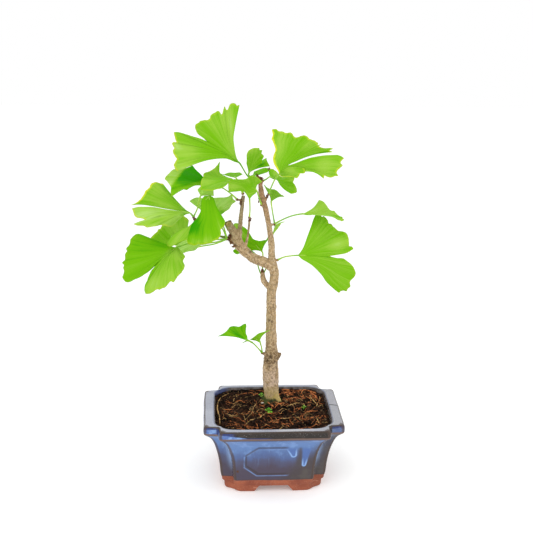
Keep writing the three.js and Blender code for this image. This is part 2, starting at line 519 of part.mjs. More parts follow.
// Each spray: its leaves grow from one bud. stalk runs from the bud to the blade's base. edge is the
// outer margin, as strokes that meet at sharp corners and at the notch between two lobes. flare says how
// late the veins spread (1 is straight), belly how far the blade bulges between base and margin.
const SPRAYS = {
  leaves_apex: {
    crown: {
      stalk: [[-11.5, 21.5, 326], [-19.5, 22, 325], [-27, 20, 331], [-36, 14, 346]],
      edge: [
        [
          [-37, 26, 403], [-45, 24, 406], [-54, 19, 398], [-64, 15, 397], [-77, 9, 390], [-81, 6, 382],
          [-69, 9, 369],
        ],
        [[-69, 9, 369], [-86, 3, 375], [-103, 2, 379]],
        [[-103, 2, 379], [-105, -3, 368], [-101, -6, 355], [-103, -8, 344]],
      ],
      flare: 1.6, belly: 3,
    },
    tip: {
      stalk: [[-11.5, 21.5, 326], [-21, 20, 328], [-27, 12, 335]],
      edge: [
        [[-30, 0, 349], [-27, -2, 360], [-22, 0, 364], [-17, 4, 364], [-12, 8, 360], [-11, 14, 353]],
        [[-11, 14, 353], [-7, 24, 349], [-4, 32, 340]],
      ],
      flare: 1.5, belly: 1,
    },
    tuft: {
      stalk: [[-11.5, 21.5, 326], [-19, 24, 326], [-25, 27, 330]],
      edge: [[[-20, 46, 332], [-12, 52, 333], [-3, 48, 335]], [[-3, 48, 335], [-7, 38, 333], [-12, 28, 333]]],
      flare: 1.4, belly: 1,
    },
    behind: {
      stalk: [[-11.5, 21.5, 326], [-8, 21, 328], [-4, 20, 331]],
      edge: [
        [
          [-1, 50, 335], [7, 58, 338], [17, 58, 337], [23, 48, 330], [24, 36, 323], [25, 26, 316],
          [20, 18, 313],
        ],
      ],
      flare: 1.5, belly: 3,
    },
  },
  leaf_gold: {
    gold: {
      stalk: [[-5.6, 15.6, 313], [-3, 13, 321], [1, 9, 331], [5, 7, 336]],
      edge: [
        [[-2, 34, 379], [10, 32, 375], [21, 26, 373], [32, 20, 374], [45, 10, 367], [58, -2, 363]],
        [[58, -2, 363], [34, 2, 355], [13, 4, 345]],
        [[13, 4, 345], [37, -6, 355], [53, -14, 359], [67, -22, 359]],
        [[67, -22, 359], [65, -27, 349], [59, -32, 341], [47, -26, 338], [35, -16, 343], [29, -10, 344]],
        [[29, -10, 344], [28, -9, 338], [21, -6, 335]],
      ],
      flare: 1.5, belly: 2,
    },
  },
  leaf_front: {
    front: {
      stalk: [[-13, 12.8, 302], [-16, 9, 311], [-18.5, 5, 319]],
      edge: [
        [
          [-47, -5, 319], [-46, -14, 328], [-41, -21, 335], [-33, -26, 336], [-27, -26, 338],
          [-21, -21, 336], [-12, -10, 331],
        ],
      ],
      flare: 1.5, belly: 2,
    },
  },
  leaves_right: {
    shade: {
      stalk: [[1.6, 19, 280], [-0.6, 19.5, 292], [-2.5, 19, 304]],
      edge: [[[-9, 42, 318], [-4, 48, 315], [1, 48, 312], [7, 42, 310], [13, 32, 308]]],
      flare: 1.6, belly: 2,
    },
    reach: {
      stalk: [[1.6, 19, 280], [7, 15, 284.5], [19, 12, 290.5], [31, 11, 293]],
      edge: [
        [[51, 44, 302], [58, 43, 297], [64, 36, 292], [69, 24, 291], [74, 8, 288]],
        [[74, 8, 288], [70, 1, 287]],
      ],
      flare: 1.8, belly: 2,
    },
    bract: {
      stalk: [[1.6, 19, 280], [2, 21, 277]],
      edge: [[[13, 25, 282], [11, 30, 275], [8, 34, 270], [4, 38, 264], [1, 40, 261]]],
      flare: 1.3, belly: 1,
    },
  },
  leaf_broad: {
    broad: {
      stalk: [[4.8, 14, 241.7], [11.5, 10, 246], [19.5, 6, 248.5], [26, 4, 249.5]],
      edge: [
        [
          [47, 28, 287], [54, 27, 286], [62, 24, 280], [70, 19, 273], [77, 14, 272], [81, 8, 262],
          [85, 5, 256],
        ],
        [[85, 5, 256], [75, 5, 250], [61, 5, 249]],
        [[61, 5, 249], [77, 2, 245], [85, 1, 240], [88, 1, 231], [83, 3, 221], [82, 5, 213], [72, 9, 207]],
      ],
      flare: 1.6, belly: 3,
    },
  },
  leaf_hood: {
    hood: {
      stalk: [[-38.6, 14, 307.6], [-41, 15, 310], [-47.5, 15, 315.5], [-55.5, 17, 320], [-73, 18, 321]],
      edge: [
        [[-85, 38, 340], [-97, 30, 335], [-105, 20, 336], [-113, 6, 331]],
        [[-113, 6, 331], [-107, -4, 325], [-105, -14, 318]],
        [[-105, -14, 318], [-96, -7, 321], [-87, 0, 320]],
      ],
      flare: 1.5, belly: 2,
    },
  },
  leaves_grey_twig: {
    star: {
      stalk: [[-32.6, 17.4, 313.4], [-34.5, 16, 317.5], [-37, 15, 323], [-42, 12, 327]],
      edge: [
        [[-56, 42, 344], [-64, 30, 337], [-71, 20, 334], [-76, 4, 332]],
        [[-76, 4, 332], [-75, -10, 328], [-71, -20, 324], [-64, -24, 324], [-55, -22, 327]],
      ],
      flare: 1.5, belly: 1,
    },
    rear: {
      stalk: [[-32.6, 17.4, 313.4], [-33, 20, 319], [-37.5, 21, 326], [-40, 23, 329.5]],
      edge: [[[-55, 44, 330], [-49, 54, 329], [-41, 58, 327], [-35, 56, 329], [-32, 48, 329]]],
      flare: 1.6, belly: 1,
    },
  },
  leaf_lamp: {
    lamp: {
      stalk: [[-25.5, 16.6, 287.4], [-25, 16, 297], [-25.5, 14.5, 307]],
      edge: [[[-32, 13, 320], [-31, 12, 325], [-26, 12, 327], [-22, 13, 326], [-19, 14, 320]]],
      flare: 1.4, belly: 1,
    },
  },
  leaves_left: {
    apron: {
      stalk: [[-49.4, 13.6, 265], [-52.5, 8, 278.5], [-59, 2, 296], [-65, -2, 311.5], [-67.5, -6, 315.5]],
      edge: [
        [
          [-51, -18, 292], [-53, -24, 286], [-57, -30, 278], [-66, -34, 272], [-78, -34, 271],
          [-89, -30, 271],
        ],
        [[-89, -30, 271], [-100, -20, 269], [-111, -8, 268]],
      ],
      flare: 2.0, belly: 3,
    },
    skirt: {
      stalk: [[-49.4, 13.6, 265], [-60, 8, 266], [-72.5, 4, 267], [-88, 1, 264], [-102, -2, 260]],
      edge: [
        [
          [-143, 6, 273], [-149, -2, 269], [-155, -14, 256], [-157, -26, 243], [-153, -34, 233],
          [-146, -36, 233],
        ],
        [[-146, -36, 233], [-131, -28, 240], [-121, -20, 247]],
        [[-121, -20, 247], [-131, -36, 237], [-133, -44, 223]],
        [
          [-133, -44, 223], [-122, -42, 225], [-110, -38, 229], [-103, -34, 233], [-94, -22, 240],
          [-93, -8, 250],
        ],
      ],
      flare: 1.6, belly: 3,
    },
    back: {
      stalk: [[-49.4, 13.6, 265], [-61, 18, 259], [-75, 25, 254.5], [-89, 28, 251.5]],
      edge: [[[-131, 32, 262], [-125, 38, 268], [-115, 44, 273], [-101, 50, 284], [-89, 50, 285]]],
      flare: 1.6, belly: 3,
    },
    under: {
      stalk: [[-49.4, 13.6, 265], [-59, 12, 262.5], [-69.5, 12, 261]],
      edge: [[[-104, 26, 252], [-97, 12, 251], [-88, 0, 254], [-80, -8, 260]]],
      flare: 1.5, belly: 1,
    },
    screen: {
      stalk: [[-49.4, 13.6, 265], [-54, 12.5, 276.5], [-61, 12, 285], [-65, 12, 290.5]],
      edge: [
        [[-88, 6, 309], [-78, 20, 308], [-63, 30, 307], [-52, 36, 307], [-43, 40, 311]],
        [[-43, 40, 311], [-39, 37, 302], [-46, 29, 293], [-53, 20, 290]],
      ],
      flare: 1.5, belly: 2,
    },
  },
  leaves_hidden_twig: {
    wing: {
      stalk: [[-84.4, 9, 290.2], [-86, 6.5, 293], [-88, 4, 295.5]],
      edge: [
        [[-110, 24, 320], [-119, 20, 324], [-128, 14, 324], [-135, 6, 317], [-140, -2, 309], [-148, -8, 307]],
        [[-148, -8, 307], [-137, -5, 306], [-128, -2, 304]],
        [[-128, -2, 304], [-137, -9, 305], [-146, -14, 304]],
        [[-146, -14, 304], [-143, -20, 298], [-133, -26, 293]],
        [[-133, -26, 293], [-139, -31, 292], [-143, -34, 292]],
        [[-143, -34, 292], [-129, -30, 288], [-116, -18, 290], [-107, -6, 285], [-98, 2, 292]],
      ],
      flare: 1.6, belly: 2,
    },
    pale: {
      stalk: [[-84.4, 9, 290.2], [-80, 0, 301.5], [-78, -2, 310.5], [-77, -1, 314]],
      edge: [[[-80, 3, 320], [-76, 4, 324], [-70, 4, 325], [-64, 3, 321], [-63, 1, 314]]],
      flare: 1.4, belly: 1,
    },
  },
  leaves_stub: {
    dark: {
      stalk: [[-10.4, 25.8, 220.5], [-10.5, 27, 231.5], [-10, 29, 241], [-10.5, 31, 246]],
      edge: [
        [[-4, 44, 257], [-9, 42, 256], [-16, 38, 257]],
        [[-16, 38, 257], [-23, 44, 261], [-27, 48, 267], [-32, 50, 270], [-39, 52, 274]],
        [[-39, 52, 274], [-39, 48, 264], [-40, 40, 254], [-42, 34, 246]],
      ],
      flare: 1.5, belly: 2,
    },
    nape: {
      stalk: [[-10.4, 25.8, 220.5], [-13, 26.5, 224.5], [-15.5, 28, 232], [-17, 36, 240]],
      edge: [[[-9, 64, 229], [-14, 74, 229], [-21, 76, 234], [-27, 70, 239], [-31, 60, 245]]],
      flare: 1.5, belly: 2,
    },
    spine: {
      stalk: [[-10.4, 25.8, 220.5], [-6, 30, 228], [-2, 35, 229]],
      edge: [[[1, 60, 245], [2, 72, 233], [3, 76, 220], [3, 68, 210]]],
      flare: 1.5, belly: 2,
    },
  },
  leaves_sprout: {
    sprout: {
      stalk: [[-10.6, 12, 136], [-16.5, 8, 144.5], [-22, 5, 151], [-27.5, 2, 155]],
      edge: [
        [
          [-59, -12, 164], [-53, -4, 167], [-47, 4, 169], [-39, 13, 167], [-32, 20, 166],
          [-28, 24, 165],
        ],
      ],
      flare: 1.6, belly: 3,
    },
    sprig: {
      stalk: [[-10.6, 12, 136], [-11.5, 8, 143.5], [-13.5, 3, 152]],
      edge: [[[-24, 13, 151], [-19, 2, 159], [-14, -9, 166], [-9, -14, 169], [-3, -14, 172]]],
      flare: 1.5, belly: 1,
    },
    scrap: {
      stalk: [[-22, 5, 151], [-26.5, 8, 152]],
      edge: [[[-32, 26, 142], [-29, 31, 143], [-26, 29, 147]]],
      flare: 1.3, belly: 0,
    },
  },
};

const MARGIN_STEP = 8; // mm between points of the margin
// The blade's rows between base and margin: how far out each lies, and which columns of the margin it
// keeps. The ends of strokes are always kept, and the crowded first row keeps its ends and its middle.
const ROWS = [{ t: 0.06 }, { t: 0.34, every: 2 }, { t: 0.64, every: 1 }, { t: 1, every: 1 }];

// Where a leaf's veins start, its margin and the columns at its strokes' ends, the way the leaf points
// and the way its upper face looks.
function planOf({ stalk, edge }) {
  const base = vec(stalk.at(-1));
  const rim = [];
  const ends = [0];
  for (const stroke of edge) {
    const curve = smooth(stroke.map(vec));
    const steps = Math.max(1, Math.round(curve.getLength() / MARGIN_STEP));
    rim.push(...curve.getSpacedPoints(steps).slice(rim.length ? 1 : 0));
    ends.push(rim.length - 1);
  }
  const face = new THREE.Vector3();
  for (let i = 0; i < rim.length - 1; i++) {
    face.add(rim[i].clone().sub(base).cross(rim[i + 1].clone().sub(base)));
  }
  return { base, rim, ends, axis: middleOf(rim).sub(base).normalize(), face: face.normalize() };
}

// The point a part t of the way along the vein that ends at the given point of the margin.
function onVein(plan, { flare, belly }, end, t) {
  const reach = end.clone().sub(plan.base);
  const along = plan.axis.clone().multiplyScalar(reach.dot(plan.axis));
  const aside = reach.sub(along);
  const point = plan.base.clone().addScaledVector(along, t).addScaledVector(aside, t ** flare);
  return point.addScaledVector(plan.face, belly * 4 * t * (1 - t));
}

// A blade: the same triangles on both faces, closed round its edge. Its narrow first row is thickened
// straight along the leaf's face, so that the crowded points there don't cross.
function blade(leaf) {
  const plan = planOf(leaf);
  const last = plan.rim.length - 1;
  const grid = ROWS.map(({ t }) => plan.rim.map((end) => onVein(plan, leaf, end, t)));
  const clamp = THREE.MathUtils.clamp;
  const at = (r, c) => grid[clamp(r, 0, ROWS.length - 1)][clamp(c, 0, last)];
  const upper = [];
  const lower = [];
  const rows = ROWS.map(({ every }, r) => {
    const kept = [...plan.rim.keys()].filter((c) =>
      every ? c % every === 0 || plan.ends.includes(c) : [0, Math.floor(last / 2), last].includes(c),
    );
    return kept.map((column) => {
      const outward = at(r + 1, column).clone().sub(at(r - 1, column));
      const sideways = at(r, column + 1).clone().sub(at(r, column - 1));
      const normal = r === 0 ? plan.face : outward.cross(sideways).normalize();
      lower.push(at(r, column).clone().addScaledVector(normal, -BLADE / 2));
      return { column, index: upper.push(at(r, column).clone().addScaledVector(normal, BLADE / 2)) - 1 };
    });
  });
  const count = upper.length;
  const faces = [];
  const onBothFaces = (a, b, c) => faces.push(a, b, c, a + count, c + count, b + count);
  const wall = (a, b) => faces.push(a, b, b + count, a, b + count, a + count);
  for (let r = 0; r < rows.length - 1; r++) {
    const near = rows[r];
    const far = rows[r + 1];
    let [i, j] = [0, 0];
    while (i < near.length - 1 || j < far.length - 1) {
      const nearNext = near[i + 1]?.column ?? Infinity;
      const farNext = far[j + 1]?.column ?? Infinity;
      if (farNext <= nearNext) {
        onBothFaces(near[i].index, far[j].index, far[j + 1].index);
        j++;
      } else {
        onBothFaces(near[i].index, far[j].index, near[i + 1].index);
        i++;
      }
    }
    wall(far[0].index, near[0].index);
    wall(near.at(-1).index, far.at(-1).index);
  }
  const around = (row) => row.slice(1).map((to, k) => [row[k].index, to.index]);
  around(rows[0]).forEach(([a, b]) => wall(a, b));
  around(rows.at(-1)).forEach(([a, b]) => wall(b, a));
  return new THREE.BufferGeometry().setFromPoints([...upper, ...lower]).setIndex(faces);
}

// The stalk runs a little way on in the blade as its first rib.
function stalkOf(leaf) {
  const plan = planOf(leaf);
  const tip = middleOf(plan.rim);
  const line = [...leaf.stalk, ...[0.08, 0.17].map((t) => onVein(plan, leaf, tip, t).toArray())];
  return limb(line, [STALK * 1.3, STALK, STALK, STALK, 0.6], 5, line.length + 1);
}

const greens = [0x86c232, 0x79b92c, 0x9aca3c, 0x6fb52a];
Object.entries(SPRAYS).forEach(([name, leaves], i) => {
  const pieces = Object.values(leaves).flatMap((leaf) => [stalkOf(leaf), blade(leaf)]);
  if (pieces.length > 2) {
    pieces.push(bud(Object.values(leaves)[0].stalk[0], STALK * 1.7));
  }
  addPiece(name, joined(pieces), greens[i % greens.length], 0.5);
});

// ---------- the whole plant ----------

// The origin moves from the middle of the pot's foot to under the middle of the bounding box.
const box = new THREE.Box3().setFromObject(plant);
const middle = box.getCenter(new THREE.Vector3());
plant.position.set(-middle.x, -middle.y, -box.min.z);

const bonsai = new THREE.Group();
bonsai.add(plant);

export default bonsai;
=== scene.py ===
"""A young ginkgo bonsai in its blue glazed pot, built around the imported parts."""

import math

import bpy
import numpy as np
from mathutils import Matrix, Vector, noise
from mathutils.kdtree import KDTree


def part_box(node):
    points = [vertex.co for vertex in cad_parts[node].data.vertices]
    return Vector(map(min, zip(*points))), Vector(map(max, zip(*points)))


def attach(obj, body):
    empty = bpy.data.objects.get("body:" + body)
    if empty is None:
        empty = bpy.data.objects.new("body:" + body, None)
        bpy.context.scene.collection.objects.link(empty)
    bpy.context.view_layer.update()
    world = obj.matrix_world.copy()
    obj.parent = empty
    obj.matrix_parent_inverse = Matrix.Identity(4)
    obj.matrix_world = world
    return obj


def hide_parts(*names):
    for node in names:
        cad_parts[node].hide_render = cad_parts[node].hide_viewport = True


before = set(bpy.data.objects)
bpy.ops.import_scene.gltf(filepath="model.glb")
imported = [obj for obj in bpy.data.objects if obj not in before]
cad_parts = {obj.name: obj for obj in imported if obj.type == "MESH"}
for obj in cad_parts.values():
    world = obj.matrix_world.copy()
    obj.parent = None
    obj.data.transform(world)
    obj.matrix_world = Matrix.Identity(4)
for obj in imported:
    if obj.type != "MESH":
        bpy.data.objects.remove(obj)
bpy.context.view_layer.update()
bpy.ops.object.select_all(action="DESELECT")

MM = 0.001
BODY = "root"
SEED = 7

# Camera. The plant is looked at from the front, slightly from the left and from above the pot's rim,
# by a lens that is about as long as a short portrait lens. Places are millimetres from the middle of
# the pot's foot.
pot_low, pot_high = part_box("pot")
POT_MIDDLE = np.array([(pot_low[0] + pot_high[0]) / 2, (pot_low[1] + pot_high[1]) / 2, 0.0])


def in_place(points):
    """Metres in the frame for points in millimetres from the middle of the pot's foot."""
    return np.asarray(points, float) * MM + POT_MIDDLE


CAMERA_TARGET = [-7.69, 0.46, 238.3]
CAMERA_DISTANCE = 953.0
CAMERA_TURN, CAMERA_RISE, CAMERA_ROLL = math.radians(3.4), math.radians(15.8), math.radians(0.7)
SENSOR_WIDTH = 36.0
LENS = SENSOR_WIDTH * 900 / 533

forward = Vector(
    (
        math.sin(CAMERA_TURN) * math.cos(CAMERA_RISE),
        math.cos(CAMERA_TURN) * math.cos(CAMERA_RISE),
        -math.sin(CAMERA_RISE),
    )
)
level_right = Vector((math.cos(CAMERA_TURN), -math.sin(CAMERA_TURN), 0.0))
level_up = level_right.cross(forward)
right = level_right * math.cos(CAMERA_ROLL) + level_up * math.sin(CAMERA_ROLL)
up = level_up * math.cos(CAMERA_ROLL) - level_right * math.sin(CAMERA_ROLL)
eye = Vector(in_place(CAMERA_TARGET)) - forward * CAMERA_DISTANCE * MM
bpy.ops.object.camera_add()
camera = bpy.context.object
camera.name = "camera"
camera.matrix_world = Matrix.Translation(eye) @ Matrix((right, up, -forward)).transposed().to_4x4()
camera.data.sensor_width = SENSOR_WIDTH
camera.data.lens = LENS
camera.data.clip_start = 0.05
bpy.context.scene.camera = camera

# Floor and light. A pale sweep under a large soft box overhead, a second one in front, and an even
# white surround, as in a product studio.
FLOOR_COLOUR = (0.93, 0.93, 0.93, 1.0)
FLOOR_GLOW = 0.18
SURROUND = 1.0
SOFT_BOXES = [
    # place, aimed at, size and power in watts
    ((-0.5, -0.9, 1.5), (0.0, 0.0, 0.15), 1.0, 5.0),
    ((0.9, -0.3, 1.0), (0.0, 0.0, 0.2), 0.7, 1.5),
]


def named_material(name):
    material = bpy.data.materials.new(name)
    material.use_nodes = True
    return material, material.node_tree, material.node_tree.nodes["Principled BSDF"]


bpy.ops.mesh.primitive_plane_add(size=8.0)
floor = bpy.context.object
floor.name = "floor"
floor_material, _, floor_shader = named_material("pale_floor")
floor_shader.inputs["Base Color"].default_value = FLOOR_COLOUR
floor_shader.inputs["Roughness"].default_value = 0.9
floor_shader.inputs["Specular IOR Level"].default_value = 0.0
floor_shader.inputs["Emission Color"].default_value = (1.0, 1.0, 1.0, 1.0)
floor_shader.inputs["Emission Strength"].default_value = FLOOR_GLOW
floor.data.materials.append(floor_material)

world = bpy.data.worlds.new("studio")
world.use_nodes = True
world.node_tree.nodes["Background"].inputs["Color"].default_value = (1.0, 1.0, 1.0, 1.0)
world.node_tree.nodes["Background"].inputs["Strength"].default_value = SURROUND
bpy.context.scene.world = world
for place, aim, size, power in SOFT_BOXES:
    bpy.ops.object.light_add(type="AREA", location=place)
    box = bpy.context.object
    box.data.size = size
    box.data.energy = power
    box.rotation_euler = (Vector(aim) - Vector(place)).to_track_quat("-Z", "Y").to_euler()
bpy.context.scene.view_settings.view_transform = "Standard"

# Pot. Slip-cast stoneware with stepped-in corners and a raised panel on each side. A thick blue glaze
# runs down over the walls, pools grey on the flat rim, breaks to brown on every edge, and stops short
# of the bare terracotta feet.
POT_HALF_LENGTH, POT_HALF_WIDTH, POT_HEIGHT, POT_TAPER = 75.0, 62.0, 77.0, 0.62
OUTSIDE = [
    (51, 0), (52.4, 1.2), (53.2, 7.6), (53.6, 8.8), (55.2, 9.9), (55.7, 13.6), (56.3, 15), (56.8, 17),
    (58.4, 31.6), (60.8, 43.7), (65, 56.2), (68.2, 61.7), (71.6, 64.9), (73.4, 66.3), (74.7, 67.6),
    (75, 69.5), (75, 72.8), (74.6, 74.9), (73.4, 76.4), (71.6, 77),
]
INSIDE = [
    (71.6, 59.9, 77), (64.9, 56.5, 77), (63.6, 55.2, 76.8), (62.5, 54.2, 76.1), (62, 53.6, 74.6),
    (60, 50.5, 60), (55, 47, 44), (52, 45, 28), (50, 43.5, 17), (47, 40.5, 14), (20, 17, 14),
]
WELD = 1e-6
BEND_STEPS = 4
FLOOR_BELOW = 7.3
RIM_LEVEL = 76.5
FLAT_WALL_RUN = 0.75
CORNER_STEPS, LONG_STEPS, SHORT_STEPS = 8, 112, 92
BOW = 0.56
BEAD_HEIGHT, BEAD_WIDTH = 1.0, 1.05
FRONT_PANEL = (-1.0, 30.0, 13.2)
SIDE_PANEL = (0.0, 24.0, 11.2)
PANEL_BOTTOM, PANEL_TOP, PANEL_CUT = 22.0, 54.8, 10.0
GLAZE_RUNS = [
    # the two thick runs on the front: start, end, and how wide they are at each
    ((17.6, 58.0), (20.4, 46.2), 7.2, 3.4),
    ((34.8, 58.0), (31.7, 33.6), 5.2, 2.3),
]


def walked(points):
    """The distance along a line of points to each of them."""
    return np.concatenate([[0], np.cumsum(np.linalg.norm(np.diff(points, axis=0), axis=1))])


def smooth_line(points, step):
    """Points about a step apart on a centripetal Catmull-Rom curve through the points given."""
    points = np.asarray(points, float)
    if len(points) == 2:
        count = max(1, round(np.linalg.norm(points[1] - points[0]) / step))
        return points[0] + (points[1] - points[0]) * np.linspace(0, 1, count + 1)[:, None]
    line = np.vstack([2 * points[0] - points[1], points, 2 * points[-1] - points[-2]])
    runs = []
    t = np.linspace(0, 1, 24, endpoint=False)[:, None]
    for p0, p1, p2, p3 in zip(line, line[1:], line[2:], line[3:]):
        d0, d1, d2 = (np.linalg.norm(b - a) ** 0.5 for a, b in ((p0, p1), (p1, p2), (p2, p3)))
        m1 = (p1 - p0) / d0 - (p2 - p0) / (d0 + d1) + (p2 - p1) / d1
        m2 = (p2 - p1) / d1 - (p3 - p1) / (d1 + d2) + (p3 - p2) / d2
        m1, m2 = m1 * d1, m2 * d1
        cubic = 2 * p1 - 2 * p2 + m1 + m2
        square = -3 * p1 + 3 * p2 - 2 * m1 - m2
        runs.append(cubic * t**3 + square * t**2 + m1 * t + p1)
    dense = np.vstack([*runs, points[-1:]])
    lengths = walked(dense)
    count = max(2, round(lengths[-1] / step))
    wanted = np.linspace(0, lengths[-1], count + 1)
    return np.stack([np.interp(wanted, lengths, dense[:, k]) for k in range(points.shape[1])], axis=1)


def shaped_grid(name, points):
    """A grid whose vertices are moved to rows of columns of points, in metres. Also says which is which."""
    rows, columns = points.shape[:2]
    bpy.ops.mesh.primitive_grid_add(x_subdivisions=columns - 1, y_subdivisions=rows - 1, size=1.0)
    piece = bpy.context.object
    piece.name = name
    flat = np.empty(rows * columns * 3)
    piece.data.vertices.foreach_get("co", flat)
    flat = flat.reshape(-1, 3)
    column = np.rint((flat[:, 0] + 0.5) * (columns - 1)).astype(int)
    row = np.rint((flat[:, 1] + 0.5) * (rows - 1)).astype(int)
    piece.data.vertices.foreach_set("co", points[row, column].ravel())
    piece.data.update()
    return piece, row, column


def painted(piece, name, values):
    """Stores a number for each vertex, which materials read as an attribute."""
    layer = piece.data.attributes.new(name, "FLOAT", "POINT")
    layer.data.foreach_set("value", np.asarray(values, float))


def side_steps(i):
    """How many steps the straight run after a bend has: two short ones at a corner, then a wall."""
    return (CORNER_STEPS, CORNER_STEPS, LONG_STEPS if i % 6 == 2 else SHORT_STEPS)[i % 3]


def pot_outline(half_x, half_y, step_x, step_y, inset, rounding, bow):
    """The pot's outline at one level, with the same number of points at every level."""
    corner = [
        (half_x, half_y - step_y),
        (half_x - step_x * inset, half_y - step_y * inset),
        (half_x - step_x, half_y),
    ]
    bends = [
        *corner,
        *[(-x, y) for x, y in reversed(corner)],
        *[(-x, -y) for x, y in corner],
        *[(x, -y) for x, y in reversed(corner)],
    ]
    bends = [np.array(bend) for bend in bends]
    outline = []
    for i, bend in enumerate(bends):
        before, after = bends[i - 1], bends[(i + 1) % 12]
        start = bend + (before - bend) / np.linalg.norm(before - bend) * rounding
        end = bend + (after - bend) / np.linalg.norm(after - bend) * rounding
        next_start = after + (bend - after) / np.linalg.norm(bend - after) * rounding
        for t in np.linspace(0, 1, BEND_STEPS + 1):
            outline.append(start * (1 - t) ** 2 + bend * 2 * t * (1 - t) + end * t**2)
        side = (after - bend) / np.linalg.norm(after - bend)
        outward = np.array([side[1], -side[0]]) * (bow if i % 3 == 2 else 0.0)
        for t in np.linspace(0, 1, side_steps(i) + 1)[1:-1]:
            outline.append(end * (1 - t) + next_start * t + outward * 4 * t * (1 - t))
    return np.array(outline)


def outside_level(half_x, z):
    half_y = POT_HALF_WIDTH - POT_TAPER * (POT_HALF_LENGTH - half_x)
    rise = z / POT_HEIGHT
    worn = min(1.0, max(0.0, (14.0 - z) / 8.0))
    inset, rounding = 0.9 - 0.24 * worn, 2.4 + 2.0 * worn
    return pot_outline(half_x, half_y, 13.2 + 3.6 * rise, 9.5 + 4.5 * rise, inset, rounding, BOW)


def bead_distance(s, z, panel):
    """How far points of a wall are from the bead's line, which runs round an eight-sided panel."""
    centre, half_width, cut = panel
    across = np.abs(s - centre) - half_width
    upright = np.abs(z - (PANEL_BOTTOM + PANEL_TOP) / 2) - (PANEL_TOP - PANEL_BOTTOM) / 2
    slanted = ((across + cut) * PANEL_CUT + upright * cut) / math.hypot(cut, PANEL_CUT)
    return np.maximum(np.maximum(across, upright), slanted)


outside_rows = smooth_line([(a, z) for a, z in OUTSIDE], 0.85)
levels = [
    np.column_stack([outside_level(a, z), np.full(len(outside_level(a, z)), z)]) for a, z in outside_rows
]
outside_count = len(levels)
inside_rows = smooth_line(INSIDE, 2.6)[1:]
for half_x, half_y, z in inside_rows:
    blend = min(1.0, max(0.0, (71.6 - half_x) / 7.0))
    stepped = pot_outline(half_x, half_y, 16.8, 14.0, 0.9, 2.4, BOW)
    plain = pot_outline(half_x, half_y, min(15, half_x / 3), min(14, half_y / 3), 0.42, 6.0, BOW)
    outline = stepped * (1 - blend) + plain * blend
    levels.append(np.column_stack([outline, np.full(len(outline), z)]))
pot_points = np.array(levels)
columns = pot_points.shape[1]

# The bead stands out of each wall. On the front its right-hand side has all but drowned in the glaze.
wall = pot_points[:outside_count]
bead_line = np.full((2, *wall.shape[:2]), 20.0)
for axis, panel in ((1, FRONT_PANEL), (0, SIDE_PANEL)):
    along, out = wall[:, :, 1 - axis], wall[:, :, axis].copy()
    facing = np.abs(out) > np.max(np.abs(out), axis=1, keepdims=True) - 2.0
    across = along * np.where(out > 0, -1.0, 1.0) if axis == 1 else along
    drowned = np.clip((across - 9) / 10, 0, 1) * (out < 0) if axis == 1 else 0.0
    height = BEAD_HEIGHT * (1 - 0.7 * drowned) * facing
    distance = bead_distance(across, wall[:, :, 2], panel)
    wall[:, :, axis] += np.sign(out) * height * np.exp(-((distance / BEAD_WIDTH) ** 2))
    for layer, (aside, above) in enumerate(((1.0, 1.3), (-0.9, -1.0))):
        shifted = bead_distance(across + aside, wall[:, :, 2] + above, panel)
        bead_line[layer] = np.where(facing, shifted, bead_line[layer])
front = np.minimum(1.0, np.maximum(0.0, -wall[:, :, 1] - 44.0))
for (x0, z0), (x1, z1), wide_start, wide_end in GLAZE_RUNS:
    share = np.clip(((wall[:, :, 0] - x0) * (x1 - x0) + (wall[:, :, 2] - z0) * (z1 - z0))
                    / ((x1 - x0) ** 2 + (z1 - z0) ** 2), 0, 1)
    far = np.hypot(wall[:, :, 0] - x0 - share * (x1 - x0), wall[:, :, 2] - z0 - share * (z1 - z0))
    over = np.clip((wide_start + (wide_end - wide_start) * share - far) / 1.6 + 0.5, 0, 1)
    wall[:, :, 1] -= front * FLAT_WALL_RUN * over * np.clip((58.0 - wall[:, :, 2]) / 6.0, 0, 1)

# A little unevenness of the hand-pressed walls.
for r in range(outside_count):
    for c in range(columns):
        x, y, z = pot_points[r, c]
        swell = noise.noise(Vector((x, y, z)) * 0.045) * 0.45 * min(1.0, z / 12)
        pot_points[r, c, :2] *= 1 + swell / 75

closed = np.concatenate([pot_points, pot_points[:, :1]], axis=1)
pot, row, column = shaped_grid("glazed_pot", in_place(closed))
column = column % columns
bend_places = [sum(BEND_STEPS + side_steps(j) for j in range(i)) for i in range(12)]
ridge = np.zeros(columns)
hollow = np.zeros(columns)
for i, place in enumerate(bend_places):
    for c in range(-6, BEND_STEPS + 7):
        strength = math.exp(-(((c - BEND_STEPS / 2) / 3.3) ** 2))
        target = hollow if i % 3 == 1 else ridge
        target[(place + c) % columns] = max(target[(place + c) % columns], strength)
heights = closed[:, 0, 2]
rim_share = np.zeros(len(heights))
rim_share[outside_count - 2 :] = 1.0
rim_share[outside_count:][heights[outside_count:] < RIM_LEVEL] = 0.0
inner_share = np.zeros(len(heights))
inner_share[outside_count:][heights[outside_count:] < RIM_LEVEL] = 1.0
lip_share = np.where((heights > 67.0) & (np.arange(len(heights)) < outside_count - 1), 1.0, 0.0)
edge_share = np.exp(-(((heights - 66.8) / 1.3) ** 2)) * (np.arange(len(heights)) < outside_count)
on_outside = np.arange(len(heights)) < outside_count - 2
edge_share = np.maximum(edge_share, 0.8 * np.exp(-(((heights - 76.0) / 0.6) ** 2)) * on_outside)
all_lines = np.full((2, *closed.shape[:2]), 20.0)
all_lines[:, :outside_count, :columns] = bead_line
on_body = (row < outside_count) & (heights[row] > 14)
painted(pot, "edge", np.maximum(edge_share[row], ridge[column] * on_body * 0.9))
painted(pot, "hollow", hollow[column] * on_body)
painted(pot, "rim", rim_share[row])
painted(pot, "lip", lip_share[row])
painted(pot, "inner", inner_share[row])
painted(pot, "bead_light", all_lines[0][row, column])
